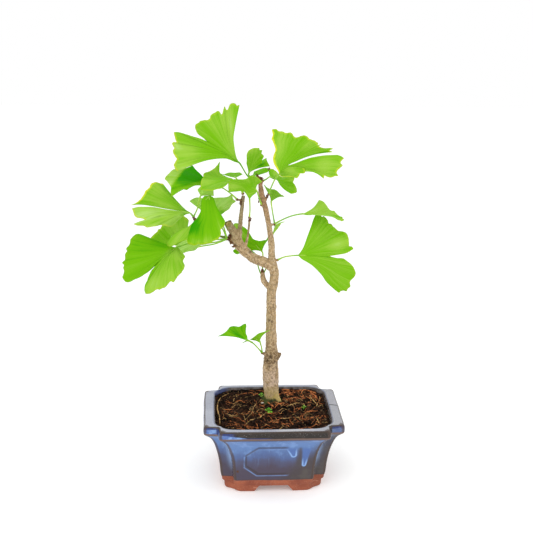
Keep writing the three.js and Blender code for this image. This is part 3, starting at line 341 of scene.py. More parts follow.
painted(pot, "bead_bare", all_lines[1][row, column])
bpy.ops.object.mode_set(mode="EDIT")
bpy.ops.mesh.select_all(action="SELECT")
bpy.ops.mesh.remove_doubles(threshold=WELD)
bpy.ops.mesh.select_all(action="DESELECT")
bpy.ops.mesh.select_non_manifold()
bpy.ops.mesh.edge_face_add()
bpy.ops.mesh.select_all(action="SELECT")
bpy.ops.mesh.normals_make_consistent(inside=False)
bpy.ops.object.mode_set(mode="OBJECT")


def picked(*pieces):
    """Selects these pieces alone and makes the first one active."""
    bpy.ops.object.select_all(action="DESELECT")
    for piece in pieces:
        piece.select_set(True)
    bpy.context.view_layer.objects.active = pieces[0]


def finished_by(piece, kind, **settings):
    """Adds a modifier with its settings and applies it."""
    change = piece.modifiers.new(kind.lower(), kind)
    for key, value in settings.items():
        setattr(change, key, value)
    picked(piece)
    bpy.ops.object.modifier_apply(modifier=change.name)


def cut_away(piece, cutter):
    """Takes the cutter's shape out of the piece."""
    finished_by(piece, "BOOLEAN", object=cutter, operation="DIFFERENCE", solver="EXACT")
    bpy.data.objects.remove(cutter)


def arch_cutter(at_ground, at_roof, length, turned):
    """The tunnel between two feet: wide at the ground, narrower at its roof, with softened edges."""
    bpy.ops.mesh.primitive_cube_add(size=1.0)
    arch = bpy.context.object
    for vertex in arch.data.vertices:
        half = at_ground if vertex.co.z < 0 else at_roof
        across = math.copysign(half, vertex.co.x)
        along = math.copysign(length / 2, vertex.co.y)
        z = -1.0 if vertex.co.z < 0 else FLOOR_BELOW
        x, y = (along, across) if turned else (across, along)
        vertex.co = Vector(in_place((x, y, z)))
    finished_by(arch, "BEVEL", width=1.2 * MM, segments=3)
    return arch


cut_away(pot, arch_cutter(22.0, 15.6, 130.0, False))
cut_away(pot, arch_cutter(18.0, 12.0, 140.0, True))
bpy.ops.mesh.primitive_cube_add(size=1.0)
well = bpy.context.object
for vertex in well.data.vertices:
    z = -1.0 if vertex.co.z < 0 else FLOOR_BELOW
    vertex.co = Vector(in_place((80 * vertex.co.x, 72 * vertex.co.y, z)))
cut_away(pot, well)
for hole_x in (-27.0, 27.0):
    bpy.ops.mesh.primitive_cylinder_add(vertices=40, radius=6.5 * MM, depth=20 * MM)
    hole = bpy.context.object
    hole.data.transform(Matrix.Translation(Vector(in_place((hole_x, 0.0, 9.0)))))
    cut_away(pot, hole)
picked(pot)
bpy.ops.object.shade_smooth_by_angle(angle=math.radians(40))


def add_node(tree, kind, **settings):
    """A shader node with its settings and, by socket name, a plain value or a socket for its inputs."""
    node = tree.nodes.new("ShaderNode" + kind)
    for key, value in settings.items():
        if key not in node.inputs:
            setattr(node, key, value)
        elif isinstance(value, bpy.types.NodeSocket):
            tree.links.new(value, node.inputs[key])
        else:
            node.inputs[key].default_value = value
    return node


def read_number(tree, name):
    return add_node(tree, "Attribute", attribute_name=name).outputs["Fac"]


def worked(operation, *values, clamp=False):
    """The result of a maths node on plain numbers or sockets, in the sockets' own tree."""
    tree = next(value.id_data for value in values if isinstance(value, bpy.types.NodeSocket))
    node = add_node(tree, "Math", operation=operation, use_clamp=clamp)
    for socket, value in zip(node.inputs, values):
        if isinstance(value, bpy.types.NodeSocket):
            tree.links.new(value, socket)
        else:
            socket.default_value = value
    return node.outputs[0]


def plus(total, *values):
    for value in values:
        total = worked("ADD", total, value)
    return total


def times(product, *values):
    for value in values:
        product = worked("MULTIPLY", product, value)
    return product


def less(value, amount):
    return worked("SUBTRACT", value, amount)


def ramped(value, low, high):
    """0 below low, 1 above high, and smooth between."""
    ends = {"From Min": low, "From Max": high}
    ramp = add_node(value.id_data, "MapRange", interpolation_type="SMOOTHSTEP", Value=value, **ends)
    return ramp.outputs["Result"]


def within(value, low, high):
    """1 where a value is below low, 0 above high."""
    return less(1.0, ramped(value, low, high))


def around(value, amount):
    """A noise value spread evenly about nought."""
    return times(less(value, 0.5), amount)


def mixed(share, first, second):
    """A mix of two colours, each a plain colour or a socket."""
    node = add_node(share.id_data, "Mix", data_type="RGBA")
    sockets = [s for s in node.inputs if s.enabled and s.type == "RGBA"]
    factor = next(s for s in node.inputs if s.enabled and s.type == "VALUE")
    for socket, value in ((factor, share), (sockets[0], first), (sockets[1], second)):
        if isinstance(value, tuple):
            socket.default_value = (*value, 1.0)
        else:
            share.id_data.links.new(value, socket)
    return next(s for s in node.outputs if s.enabled and s.type == "RGBA")


def layered(colour, *layers):
    """A colour with others laid over it in turn, each given as how much it covers and what it is."""
    for share, over in layers:
        colour = mixed(share, colour, over)
    return colour


def cloud_over(place, scale, detail=4.0, stretch=(1.0, 1.0, 1.0), roughness=0.55):
    """Noise over places, 0 to 1, drawn out along an axis whose stretch is small."""
    tree = place.id_data
    spot = add_node(tree, "Mapping", Vector=place, Scale=stretch).outputs["Vector"]
    cloud = add_node(tree, "TexNoise", Vector=spot, Scale=scale, Detail=detail, Roughness=roughness)
    return cloud.outputs["Fac"]


def bumped(shader, height, distance, strength=1.0):
    tree = shader.id_data
    bump = add_node(tree, "Bump", Distance=distance, Strength=strength, Height=height)
    tree.links.new(bump.outputs["Normal"], shader.inputs["Normal"])


def coated(piece, *materials):
    piece.data.materials.clear()
    for material in materials:
        piece.data.materials.append(material)


glaze, tree, shader = named_material("blue_glaze")
place = add_node(tree, "TexCoord").outputs["Object"]
centred = {"Location": tuple(-POT_MIDDLE * 1000), "Scale": (1000.0, 1000.0, 1000.0)}
in_mm = add_node(tree, "Mapping", Vector=place, **centred).outputs["Vector"]
split = add_node(tree, "SeparateXYZ", Vector=in_mm)
east, north, level = (split.outputs[name] for name in ("X", "Y", "Z"))


def glaze_cloud(scale, stretch=(1.0, 1.0, 1.0), detail=4.0):
    return cloud_over(in_mm, scale, detail, stretch)


def glaze_run_group():
    """A node group: how far a place is outside a tapering drop that runs from one point to another."""
    group = bpy.data.node_groups.new("glaze_run", "ShaderNodeTree")
    for name in ("Place", "Start", "End"):
        group.interface.new_socket(name, in_out="INPUT", socket_type="NodeSocketVector")
    for name in ("Wide start", "Wide end"):
        group.interface.new_socket(name, in_out="INPUT", socket_type="NodeSocketFloat")
    group.interface.new_socket("Far", in_out="OUTPUT", socket_type="NodeSocketFloat")
    start, end = group.nodes.new("NodeGroupInput"), group.nodes.new("NodeGroupOutput")

    def vector_step(operation, first, second, result="Vector"):
        node = add_node(group, "VectorMath", operation=operation)
        group.links.new(first, node.inputs[0])
        if second is not None:
            group.links.new(second, node.inputs["Scale" if operation == "SCALE" else 1])
        return node.outputs[result]

    along = vector_step("SUBTRACT", start.outputs["End"], start.outputs["Start"])
    offset = vector_step("SUBTRACT", start.outputs["Place"], start.outputs["Start"])
    travelled = vector_step("DOT_PRODUCT", offset, along, "Value")
    share = worked("DIVIDE", travelled, vector_step("DOT_PRODUCT", along, along, "Value"), clamp=True)
    aside = vector_step("SUBTRACT", offset, vector_step("SCALE", along, share))
    far = vector_step("LENGTH", aside, None, "Value")
    taper = less(start.outputs["Wide end"], start.outputs["Wide start"])
    wide = plus(start.outputs["Wide start"], times(taper, share))
    group.links.new(less(far, wide), end.inputs["Far"])
    return group


GLAZE_RUN = glaze_run_group()


def run_distance(start, end, wide_start, wide_end, seen_along):
    """Millimetres outside a drop that is drawn flat on the front (along Y) or on the rim (along Z)."""
    flat = add_node(tree, "VectorMath", operation="MULTIPLY")
    flat.inputs[1].default_value = (1.0, 0.0, 1.0) if seen_along == "Y" else (1.0, 1.0, 0.0)
    wobble = add_node(tree, "VectorMath", operation="MULTIPLY_ADD")
    wobble.inputs[1].default_value = (1.2, 1.2, 1.2)
    shaking = add_node(tree, "TexNoise", Vector=in_mm, Scale=0.25, Detail=3.0)
    tree.links.new(shaking.outputs["Color"], wobble.inputs[0])
    tree.links.new(in_mm, wobble.inputs[2])
    tree.links.new(wobble.outputs["Vector"], flat.inputs[0])
    # the shaking pushes a place on by 0.6 mm on average, and the drop's ends follow it
    start, end = (tuple(v + 0.6 * (v != 0) for v in tip) for tip in (start, end))
    ends = {"Place": flat.outputs["Vector"], "Start": start, "End": end}
    widths = {"Wide start": wide_start, "Wide end": wide_end}
    return add_node(tree, "Group", node_tree=GLAZE_RUN, **ends, **widths).outputs["Far"]


SKY_BLUE, LIGHT_BLUE, DEEP_BLUE = (0.22, 0.37, 0.70), (0.115, 0.215, 0.46), (0.078, 0.125, 0.29)
PURPLE_BLUE, GREY_GLAZE, BROWN_GREY = (0.074, 0.078, 0.15), (0.068, 0.052, 0.082), (0.062, 0.047, 0.046)
BROWN_EDGE, BLACK_BROWN, PINK_BROWN = (0.062, 0.037, 0.028), (0.016, 0.011, 0.008), (0.17, 0.105, 0.085)
NAVY, RIM_GREY, RIM_LIGHT = (0.02, 0.035, 0.15), (0.31, 0.325, 0.41), (0.41, 0.425, 0.50)
TERRACOTTA, TERRACOTTA_DARK, CLAY_DUST = (0.375, 0.107, 0.052), (0.24, 0.061, 0.033), (0.60, 0.30, 0.20)

drifts = glaze_cloud(0.022, (1.0, 1.0, 0.5))
runs = glaze_cloud(0.11, (1.0, 1.0, 0.10))
fine_runs = glaze_cloud(0.45, (1.0, 1.0, 0.05))
pools = glaze_cloud(0.09, (1.0, 1.0, 1.0))
ripples = glaze_cloud(0.30, (0.3, 0.3, 1.5))
specks = glaze_cloud(1.1, detail=2.0)
on_front = within(north, -47.0, -44.0)

# Down the wall the glaze goes from light blue through purple to grey, and to brown at the right.
fall = plus(level, around(drifts, 24.0), around(runs, 14.0), around(pools, 10.0), around(fine_runs, 3.0))
fall = less(fall, times(east, 0.06))
browning = plus(less(east, level), around(drifts, 22.0), around(runs, 16.0))
greenish = times(ramped(browning, 0.0, 12.0), ramped(pools, 0.40, 0.66), 0.45)
pooled = times(read_number(tree, "hollow"), ramped(fall, 22.0, 42.0), ramped(fine_runs, 0.2, 0.5))
streak = times(ramped(fine_runs, 0.56, 0.74), ramped(fall, 25.0, 45.0), 0.14)
body = layered(
    mixed(ramped(fall, 27.0, 40.0), GREY_GLAZE, PURPLE_BLUE),
    (ramped(fall, 38.0, 47.0), DEEP_BLUE),
    (ramped(fall, 45.0, 60.0), LIGHT_BLUE),
    (times(ramped(pools, 0.50, 0.66), ramped(fall, 44.0, 60.0), 0.45), SKY_BLUE),
    (times(ramped(browning, -18.0, 5.0), 0.85), BROWN_GREY),
    (greenish, (0.105, 0.092, 0.072)),
    (times(pooled, 0.85), (0.24, 0.35, 0.58)),
    (streak, SKY_BLUE),
    (times(ramped(specks, 0.60, 0.70), 0.22), BROWN_EDGE),
)

# Two thick runs from under the lip on the front, with a brown gap between them where the glaze is thin.
gap = run_distance((27.6, 0.0, 53.0), (27.0, 0.0, 35.0), 1.4, 3.6, "Y")
body = mixed(times(within(gap, -2.0, 2.8), on_front, 0.8), body, (0.066, 0.055, 0.058))
for (x0, z0), (x1, z1), wide_start, wide_end in GLAZE_RUNS:
    drop = run_distance((x0, 0.0, z0), (x1, 0.0, z1), wide_start, wide_end, "Y")
    under_lip = within(level, 52.0, 57.0)
    body = mixed(times(within(drop, -1.0, 0.8), on_front, under_lip, 0.85), body, (0.075, 0.15, 0.40))
    rim_line = within(worked("ABSOLUTE", plus(drop, 0.9)), 0.0, 1.5)
    low = within(level, z1 + 1.0, z1 + 10.0)
    body = mixed(times(rim_line, on_front, low, 0.85), body, (0.28, 0.47, 0.82))

# The bead: brown along its crest, and beside it a light line that is partly pooled glaze, partly a painted
# highlight.
shows = less(1.0, times(ramped(east, 11.0, 17.0), on_front))
far = worked("ABSOLUTE", read_number(tree, "bead_light"))
pooled = times(within(far, 0.1, 1.3), shows, ramped(pools, 0.30, 0.55), 0.75)
body = mixed(pooled, body, (0.16, 0.285, 0.58))
far = worked("ABSOLUTE", read_number(tree, "bead_bare"))
body = mixed(times(within(far, 0.3, 1.6), shows, 0.65), body, (0.045, 0.032, 0.036))
rust = run_distance((-38.9, 0.0, 26.2), (-38.7, 0.0, 25.6), 1.1, 0.9, "Y")
body = mixed(times(within(rust, -0.5, 0.9), on_front, 0.95), body, (0.085, 0.030, 0.006))

# The lip is black-brown where the glaze ran thin. Blue is left low on its left, and on the corner
# blocks; its lower edge is bare and pinkish. Its reflections are painted: a lighter upper part,
# reddish sheen streaks and fine bright specks.
slope = worked("MULTIPLY_ADD", east, -0.135, 65.9)
under = less(plus(level, around(ripples, 2.0)), slope)
low_band = times(within(under, -0.5, 0.5), within(east, -36.0, -27.0), within(north, -58.0, -56.0))
navy_band = times(within(level, 74.6, 75.6), within(plus(east, around(pools, 12.0)), -46.0, -38.0))
navy_line = times(within(level, 69.4, 70.3), within(east, -12.0, 0.0))
on_blocks = ramped(worked("ABSOLUTE", east), 60.5, 62.5)
block_level = plus(level, around(ripples, 3.0))
block_band = times(on_blocks, within(block_level, 73.0, 74.6))
other_sides = times(ramped(north, -44.0, -40.0), ramped(drifts, 0.46, 0.52), within(level, 73.6, 75.0))
mottled = ramped(glaze_cloud(0.24, (0.6, 0.6, 1.0)), 0.44, 0.60)
lip_blue = mixed(mottled, (0.085, 0.16, 0.43), (0.21, 0.355, 0.66))
block_navy = times(on_blocks, ramped(block_level, 73.4, 74.6), within(block_level, 75.4, 76.4))
blue_share = worked("MAXIMUM", worked("MAXIMUM", low_band, block_band), other_sides)
# painted highlights: fine bright specks on the upper lip
painted_lip_glints = times(ramped(specks, 0.64, 0.70), ramped(level, 70.0, 72.0), 0.5)
pink = times(within(plus(level, around(runs, 0.8)), 68.5, 69.4), 0.8)
# painted reflection and sheen: the upper part of the lip is lighter, with lighter reddish streaks over it
lip_colour = layered(
    mixed(ramped(level, 73.2, 75.6), BLACK_BROWN, (0.036, 0.026, 0.019)),
    (times(ramped(ripples, 0.5, 0.7), 0.25), (0.085, 0.063, 0.050)),
    (worked("MAXIMUM", navy_band, navy_line), NAVY),
    (block_navy, NAVY),
    (blue_share, lip_blue),
    (times(block_band, ramped(east, 55.0, 62.0), 0.55), (0.075, 0.08, 0.13)),
    (painted_lip_glints, (0.42, 0.41, 0.42)),
    (pink, PINK_BROWN),
)
# a painted highlight along the front of the rim, right of its middle
painted_rim_glint = times(ramped(east, -4.0, 10.0), within(east, 28.0, 44.0), within(north, -56.0, -52.0))
crack = run_distance((63.0, 4.4, 0.0), (74.5, 1.2, 0.0), 0.8, 0.5, "Z")
rim_colour = layered(
    mixed(ramped(drifts, 0.35, 0.7), RIM_GREY, RIM_LIGHT),
    (ramped(east, 30.0, 66.0), (0.31, 0.31, 0.345)),
    (times(painted_rim_glint, 0.7), (0.47, 0.47, 0.49)),
    (times(ramped(specks, 0.52, 0.66), 0.5), (0.52, 0.53, 0.57)),
    (times(within(specks, 0.36, 0.46), 0.35), (0.17, 0.18, 0.25)),
    (within(crack, 0.0, 0.7), BLACK_BROWN),
)
back_left = times(within(east, -54.0, -44.0), ramped(north, 30.0, 42.0), 0.9)
inner_colour = mixed(ramped(runs, 0.4, 0.65), (0.075, 0.058, 0.050), (0.17, 0.15, 0.15))
breaks = plus(read_number(tree, "edge"), around(runs, 0.7))
body = layered(
    body,
    (read_number(tree, "lip"), lip_colour),
    (read_number(tree, "rim"), rim_colour),
    (read_number(tree, "inner"), mixed(back_left, inner_colour, (0.03, 0.05, 0.17))),
    (times(ramped(breaks, 0.26, 0.68), 0.8), BROWN_EDGE),
    (times(pink, read_number(tree, "lip")), PINK_BROWN),
    (times(ramped(specks, 0.68, 0.74), 0.4), BROWN_EDGE),
)

# Bare clay below a wavy glaze line, dusty and scratched on the feet.
clay = layered(
    mixed(ramped(glaze_cloud(0.06), 0.3, 0.7), TERRACOTTA_DARK, TERRACOTTA),
    (times(ramped(specks, 0.58, 0.68), 0.35), CLAY_DUST),
    (times(ramped(glaze_cloud(0.5), 0.62, 0.7), 0.5), TERRACOTTA_DARK),
)
for start, end in (((-21.0, 0.0, 5.0), (-13.5, 0.0, 4.0)), ((40.0, 0.0, 9.5), (49.0, 0.0, 7.0))):
    scratch = run_distance(start, end, 0.5, 0.2, "Y")
    clay = mixed(times(within(scratch, -0.2, 0.5), ramped(specks, 0.42, 0.5), 0.8), clay, CLAY_DUST)
# painted shade: the bare clay darkens towards the right
clay = mixed(times(ramped(east, 20.0, 56.0), 0.4), clay, (0.20, 0.066, 0.036))
line = plus(level, around(glaze_cloud(0.07), 2.4))
glazed = ramped(line, 14.7, 15.1)
body = mixed(times(glazed, within(line, 15.3, 16.3), 0.6), body, BROWN_EDGE)
tree.links.new(mixed(glazed, clay, body), shader.inputs["Base Color"])
gloss = plus(times(drifts, 0.16), 0.08, times(read_number(tree, "rim"), 0.14))
rough = less(0.8, times(glazed, less(0.8, gloss)))
tree.links.new(rough, shader.inputs["Roughness"])
shader.inputs["Specular IOR Level"].default_value = 0.38
swells = plus(times(drifts, 1.2), times(specks, 0.12), times(glaze_cloud(0.16), 0.45))
bumped(shader, plus(swells, times(glaze_cloud(0.6), read_number(tree, "lip"), 0.3)), 0.0009, 0.6)
coated(pot, glaze)
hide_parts("pot")
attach(pot, BODY)

# Drainage nets. Black plastic mesh pressed flat over the two holes, seen only from below.
def cloudy(tree, scale, detail=4.0):
    return cloud_over(add_node(tree, "TexCoord").outputs["Object"], scale, detail)


def finished_in(shader, colour, rough, relief, depth, shine=0.5, strength=1.0):
    """Gives a finish its colour, how rough it is, its fine relief and how much it shines."""
    shader.id_data.links.new(colour, shader.inputs["Base Color"])
    shader.inputs["Roughness"].default_value = rough
    shader.inputs["Specular IOR Level"].default_value = shine
    bumped(shader, relief, depth, strength)


def two_toned(name, dark, light, patches, rough, relief, depth, shine=0.5, glow=0.0):
    """A finish in two tones. patches says how fine they are and between which cloud values they change. The
    glow, where given, is painted light.
    """
    material, tree, shader = named_material(name)
    cloud = cloudy(tree, patches[0])
    colour = mixed(ramped(cloud, *patches[1:]) if patches[1:] else cloud, dark, light)
    finished_in(shader, colour, rough, cloudy(tree, relief), depth, shine)
    if glow:
        tree.links.new(colour, shader.inputs["Emission Color"])
        shader.inputs["Emission Strength"].default_value = glow
    return material


net_plastic = two_toned("net_plastic", (0.012,) * 3, (0.03,) * 3, (300.0,), 0.6, 1500.0, 0.0001)
for name in ("drain_net_left", "drain_net_right"):
    coated(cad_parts[name], net_plastic)

# Trunk. One grown stem that forks into a sawn-off left branch and a slender right one, with twigs,
# spurs and buds. Grey-brown bark, finely ridged along the grain, with scars of old leaves and cuts.
WOOD_STEP = 0.55
LIMBS = {
    # the middle line's points, and the radius along it
    "trunk": (
        [
            [0, 17, 50], [0.5, 17, 66], [1, 17, 80], [-0.4, 17, 98], [-0.6, 17, 110], [-0.8, 17, 123],
            [-0.1, 17, 134], [-0.4, 17, 146], [-0.7, 17, 158], [-1, 17, 183], [-0.8, 17, 206],
            [1.3, 17, 217], [1.9, 17, 225], [0.9, 17, 232], [-1.6, 17, 241],
        ],
        [6.5, 7.6, 7.9, 8.5, 8.8, 8.0, 7.1, 6.2, 5.7, 5.4, 5.2, 5, 5, 5, 4.6],
    ),
    "rootFlare": ([[1, 16, 92], [5.6, 13, 83.6], [10.2, 10, 76]], [4.4, 3.7, 2.1]),
    "leftBranch": (
        [
            [-0.2, 17, 231.3], [-7.1, 17, 237.2], [-15.8, 17, 240.9], [-23.1, 17, 244.6], [-30.3, 17, 251],
            [-35.8, 17, 257.2], [-39, 17, 264.8], [-42.4, 17, 272], [-45.8, 17, 277.4], [-48.8, 17, 283.3],
        ],
        [4.5, 5.5, 5.5, 5.2, 5.5, 5.6, 5.5, 4.7, 4.4, 4],
    ),
    "rightBranch": (
        [
            [-0.5, 17, 236], [-1.2, 17, 247], [-1.6, 17, 257], [-3.5, 17, 272], [-6.2, 17, 287],
            [-9, 17, 299], [-12.4, 17, 311], [-13.9, 17, 320], [-15, 14.5, 327], [-17, 13, 331],
        ],
        [4.2, 3.8, 3.6, 3, 2.8, 2.9, 3.1, 2.6, 1.5, 1.2],
    ),
    "stub": (
        [[1, 18, 206], [-5, 19.5, 211], [-9.8, 20.6, 218], [-10.8, 21.4, 226]],
        [2.8, 3, 3.1, 2.2],
    ),
    "greyTwig": (
        [[-37.3, 17, 260.5], [-36.1, 17, 268.6], [-35.3, 17, 278.5], [-34.1, 17, 292.6], [-32.1, 17, 311.2]],
        [3.4, 3, 2.4, 2.1, 1.9],
    ),
    "shortTwig": (
        [[-30.4, 17, 253.5], [-27.6, 17, 265], [-26.2, 17, 275], [-25.4, 17, 285]],
        [1.9, 1.4, 1.1, 1.2],
    ),
    "hiddenTwig": (
        [
            [-40, 19, 261], [-49, 20.6, 265], [-58, 20, 267], [-70, 18, 279], [-83.6, 13, 287.4],
            [-84.3, 9.8, 289.7],
        ],
        [1.8, 1.5, 1.3, 1.2, 1.2, 1],
    ),
    "spurB": ([[-10.4, 17, 303], [-8.4, 16.4, 307], [-6.4, 16.1, 311.6]], [1.5, 1.4, 0.9]),
    "spurC": ([[-5, 17, 277], [-2.6, 17.8, 279], [0.4, 18.7, 280]], [1.6, 1.6, 1.1]),
    "spurApex": ([[-13.9, 16.4, 321], [-12.9, 19.4, 324.4], [-11.6, 21.6, 325.9]], [1.6, 1.5, 1.1]),
    "spurFront": ([[-10.2, 16.4, 302.4], [-11.8, 14.6, 302.2], [-12.9, 13.2, 302]], [1.9, 1.4, 1.1]),
    "spurBroad": ([[0.5, 16.4, 240.6], [3, 15.1, 241.3], [4.6, 14.2, 241.7]], [2.2, 1.6, 1.1]),
    "spurHood": ([[-32.8, 16.6, 306], [-35.8, 15.4, 307], [-38.2, 14.2, 307.5]], [1.5, 1.3, 1]),
    "spurStub": ([[-10, 21, 219.6], [-10.2, 23.6, 220.2], [-10.4, 25.6, 220.5]], [1.9, 1.4, 1.1]),
    "spurD": ([[-11, 17, 304], [-14.6, 17, 307], [-16.8, 17, 308.4]], [1.3, 1, 0.6]),
    "spurG": ([[-39.5, 16, 259.6], [-44.6, 16.2, 263], [-48.4, 15, 264.9]], [3.2, 2.8, 1.5]),
    "nodeLeft": ([[-3, 16, 131], [-6.8, 14.4, 133.6], [-9.8, 12.8, 135.6]], [2, 2, 1.2]),
    "nodeRight": ([[3, 17, 124], [7, 16.6, 129.6], [9.6, 16.4, 134]], [3, 2.4, 1.4]),
    "budTwig": ([[-25.4, 17, 284], [-23.6, 16.8, 286.4], [-22.2, 16.6, 286.8]], [0.8, 0.7, 0.5]),
}
BUDS = [
    # centre, radius and stretch
    ([-17.8, 12.8, 331.8], 1.7, (1.2, 1, 1)),
    ([-15, 13, 330.6], 1.8, (1, 1, 1)),
    ([-6.8, 16, 310.8], 1.1, (0.9, 0.9, 1.4)),
    ([-10.9, 21.6, 227.4], 1.8, (1, 1, 1.4)),
    ([-25.6, 17, 285.2], 1.3, (1, 1, 1)),
    ([-34.8, 16.4, 305.8], 1.2, (1.2, 1, 1)),
    ([-35, 16.4, 302], 1.1, (1.3, 1, 0.8)),
    ([-45.6, 16, 268.4], 1.9, (1, 1, 1.3)),
    ([-84, 12.6, 287.6], 1.5, (1, 1, 1)),
]

# Scars: place, radius, depth below the bark, and how dark.
SCARS = [
    ([-3.9, 11, 173.8], 1.5, 0.5, 1.0),
    ([-0.9, 11, 172.3], 1.0, 0.4, 0.9),
    ([-2.8, 12, 224.6], 1.7, 0.7, 1.0),
    ([-24.2, 12.5, 251.5], 1.3, 0.3, 1.0),
    ([-15.6, 12.5, 247.7], 1.4, 0.3, 1.0),
    ([0.6, 9, 186], 1.2, -0.3, 0.0),
    ([-45, 13, 261], 1.8, 0.4, 0.7),
    ([-41.5, 12, 257.5], 1.5, 0.4, 0.9),
    ([-34.9, 14.6, 276.5], 1.3, -0.2, 0.6),
    ([-1.4, 9, 132], 1.6, 0.5, 1.0),
    ([-5, 10.6, 127.4], 1.3, 0.4, 0.9),
    ([3.6, 10, 126], 1.1, 0.3, 0.8),
    ([-2.6, 9, 121.6], 1.2, -0.3, 0.8),
    ([5.4, 11.6, 118.6], 1.0, 0.3, 0.7),
    ([1.6, 11, 163], 1.0, 0.3, 0.7),
]
KNOBS = [
    # small knobs of old buds on the stem: place, radius
    ([-8.6, 15, 123.5], 1.3), ([-8.2, 15, 97.2], 1.2), ([8.6, 15, 100], 1.3), ([8.4, 14, 112], 1.1),
    ([-5.8, 15, 203], 1.0), ([5.2, 14, 176], 0.9), ([-7.9, 14, 110], 1.0), ([-11.6, 18, 214], 1.1),
    ([-8.4, 15.6, 116.6], 1.0), ([-8.8, 14.8, 103.6], 0.9), ([8, 15, 105.6], 0.9), ([7.6, 14.4, 90.6], 1.1),
    ([-5.4, 16, 152], 0.9), ([5.4, 16, 147.6], 0.8), ([-12.4, 19.6, 221], 0.9), ([-24, 15, 239.4], 1.0),
]
# The saw cut through the left branch: a point on it and the way it faces.
CUT_MIDDLE, CUT_FACING = np.array([-47.6, 15.0, 281.2]), Vector((-0.45, -0.62, 0.64)).normalized()


def strands(name, lines, rounding=2):
    """Closed tubes, each along its own points with a radius at every one, all in millimetres."""
    bpy.ops.curve.primitive_bezier_curve_add()
    piece = bpy.context.object
    piece.name = name
    curve = piece.data
    curve.splines.clear()
    for points, radii in lines:
        spline = curve.splines.new("POLY")
        spline.points.add(len(points) - 1)
        placed = in_place(points)
        for point, place, radius in zip(spline.points, placed, radii):
            point.co = (*place, 1.0)
            point.radius = radius
    curve.dimensions = "3D"
    curve.fill_mode = "FULL"
    curve.bevel_depth = MM
    curve.bevel_resolution = rounding
    curve.use_fill_caps = True
    bpy.ops.object.convert(target="MESH")
    piece = bpy.context.object
    bpy.ops.object.mode_set(mode="EDIT")
    bpy.ops.mesh.select_all(action="SELECT")
    bpy.ops.mesh.remove_doubles(threshold=WELD)
    bpy.ops.object.mode_set(mode="OBJECT")
    return piece


def ball(name, centre, radius, stretch=(1.0, 1.0, 1.0), detail=3):
    """A small rounded lump in millimetres, such as a bud or a grain."""
    bpy.ops.mesh.primitive_ico_sphere_add(subdivisions=detail, radius=radius * MM)
    piece = bpy.context.object
    piece.name = name
    size = Matrix.Diagonal((*stretch, 1.0))
    piece.data.transform(Matrix.Translation(Vector(in_place(centre))) @ size)
    return piece


def joined(name, pieces):
    picked(*pieces)
    if len(pieces) > 1:
        bpy.ops.object.join()
    whole = bpy.context.object
    whole.name = name
    return whole


def vertices_of(piece):
    places = np.empty(len(piece.data.vertices) * 3)
    piece.data.vertices.foreach_get("co", places)
    return places.reshape(-1, 3)


wood_lines = []
for line, radii in LIMBS.values():
    spots, given = (np.linspace(0, 1, len(values)) for values in (line, radii))
    wood_lines.append(smooth_line(np.column_stack([line, np.interp(spots, given, radii)]), 1.0))
wood = [strands("wood", [(path[:, :3], path[:, 3]) for path in wood_lines], rounding=6)]
wood += [ball("bud", centre, radius, stretch) for centre, radius, stretch in BUDS]
trunk = joined("trunk_and_branches", wood)
finished_by(trunk, "REMESH", mode="VOXEL", voxel_size=WOOD_STEP * MM, adaptivity=0.0)
finished_by(trunk, "SMOOTH", factor=0.5, iterations=4)

# Each point's place in its own limb: round it and along it. The grain follows these.
frames = []
for path in wood_lines:
    across = Vector((1, 0, 0)) if abs(path[1, 2] - path[0, 2]) > 0.5 else Vector((0, 0, 1))
    length = 0.0
    for i, point in enumerate(path):
        ahead = path[min(i + 1, len(path) - 1)][:3] - path[max(i - 1, 0)][:3]
        along = Vector(ahead).normalized()
        across = (across - along * across.dot(along)).normalized()
        if i:
            length += float(np.linalg.norm(point[:3] - path[i - 1][:3]))
        frames.append((Vector(point[:3]), across.copy(), along.cross(across), length, point[3]))
tree_of_frames = KDTree(len(frames))
for i, entry in enumerate(frames):
    tree_of_frames.insert(entry[0], i)
tree_of_frames.balance()
places = (vertices_of(trunk) - POT_MIDDLE) / MM
normals = np.empty(len(places) * 3)
trunk.data.vertices.foreach_get("normal", normals)
normals = normals.reshape(-1, 3)
grain = np.zeros((len(places), 3))
scar = np.zeros(len(places))
for i, place in enumerate(places):
    point = Vector(place)
    _, near, _ = tree_of_frames.find(point)
    middle, across, side, length, thick = frames[near]
    offset = point - middle
    local = Vector((offset.dot(across), offset.dot(side), length))
    grain[i] = (local.x + middle.y * 0.3, local.y, length)
    streak = Vector((local.x * 0.75, local.y * 0.75, length * 0.10))
    ridge = noise.noise(streak) * 0.55 + noise.noise(streak * 2.3) * 0.25
    lump = noise.noise(point * 0.16)
    fine = noise.noise(point * 1.3)
    size = min(1.0, thick / 5.5)
    knobbly = noise.noise(point * 0.5) + 0.5 * noise.noise(point * 0.9)
    rise = 0.5 * ridge * size + 0.6 * lump * size + 0.42 * knobbly * size + 0.24 * fine
    # rings of old buds, where the stem thickens into a rough collar
    for level, reach, swell in ((131.0, 6.5, 1.2), (187.0, 2.5, 0.4), (158.0, 3.0, 0.25)):
        if abs(place[0]) < 12:
            share = math.exp(-(((place[2] - level) / reach) ** 2))
            rise += share * (swell * (0.35 + 0.9 * noise.noise(point * 0.55)))
    for centre, radius in KNOBS:
        far = (point - Vector(centre)).length / radius
        if far < 3:
            rise += 0.8 * math.exp(-(far**2))
            scar[i] = max(scar[i], 0.35 * math.exp(-((far - 0.6) ** 2) * 2))
    for centre, radius, depth, dark in SCARS:
        far = (point - Vector(centre)).length / radius
        if far < 4:
            rise -= depth * math.exp(-(far**2) * 0.7)
            scar[i] = max(scar[i], dark * math.exp(-(far**2) * 0.6))
    places[i] += normals[i] * rise
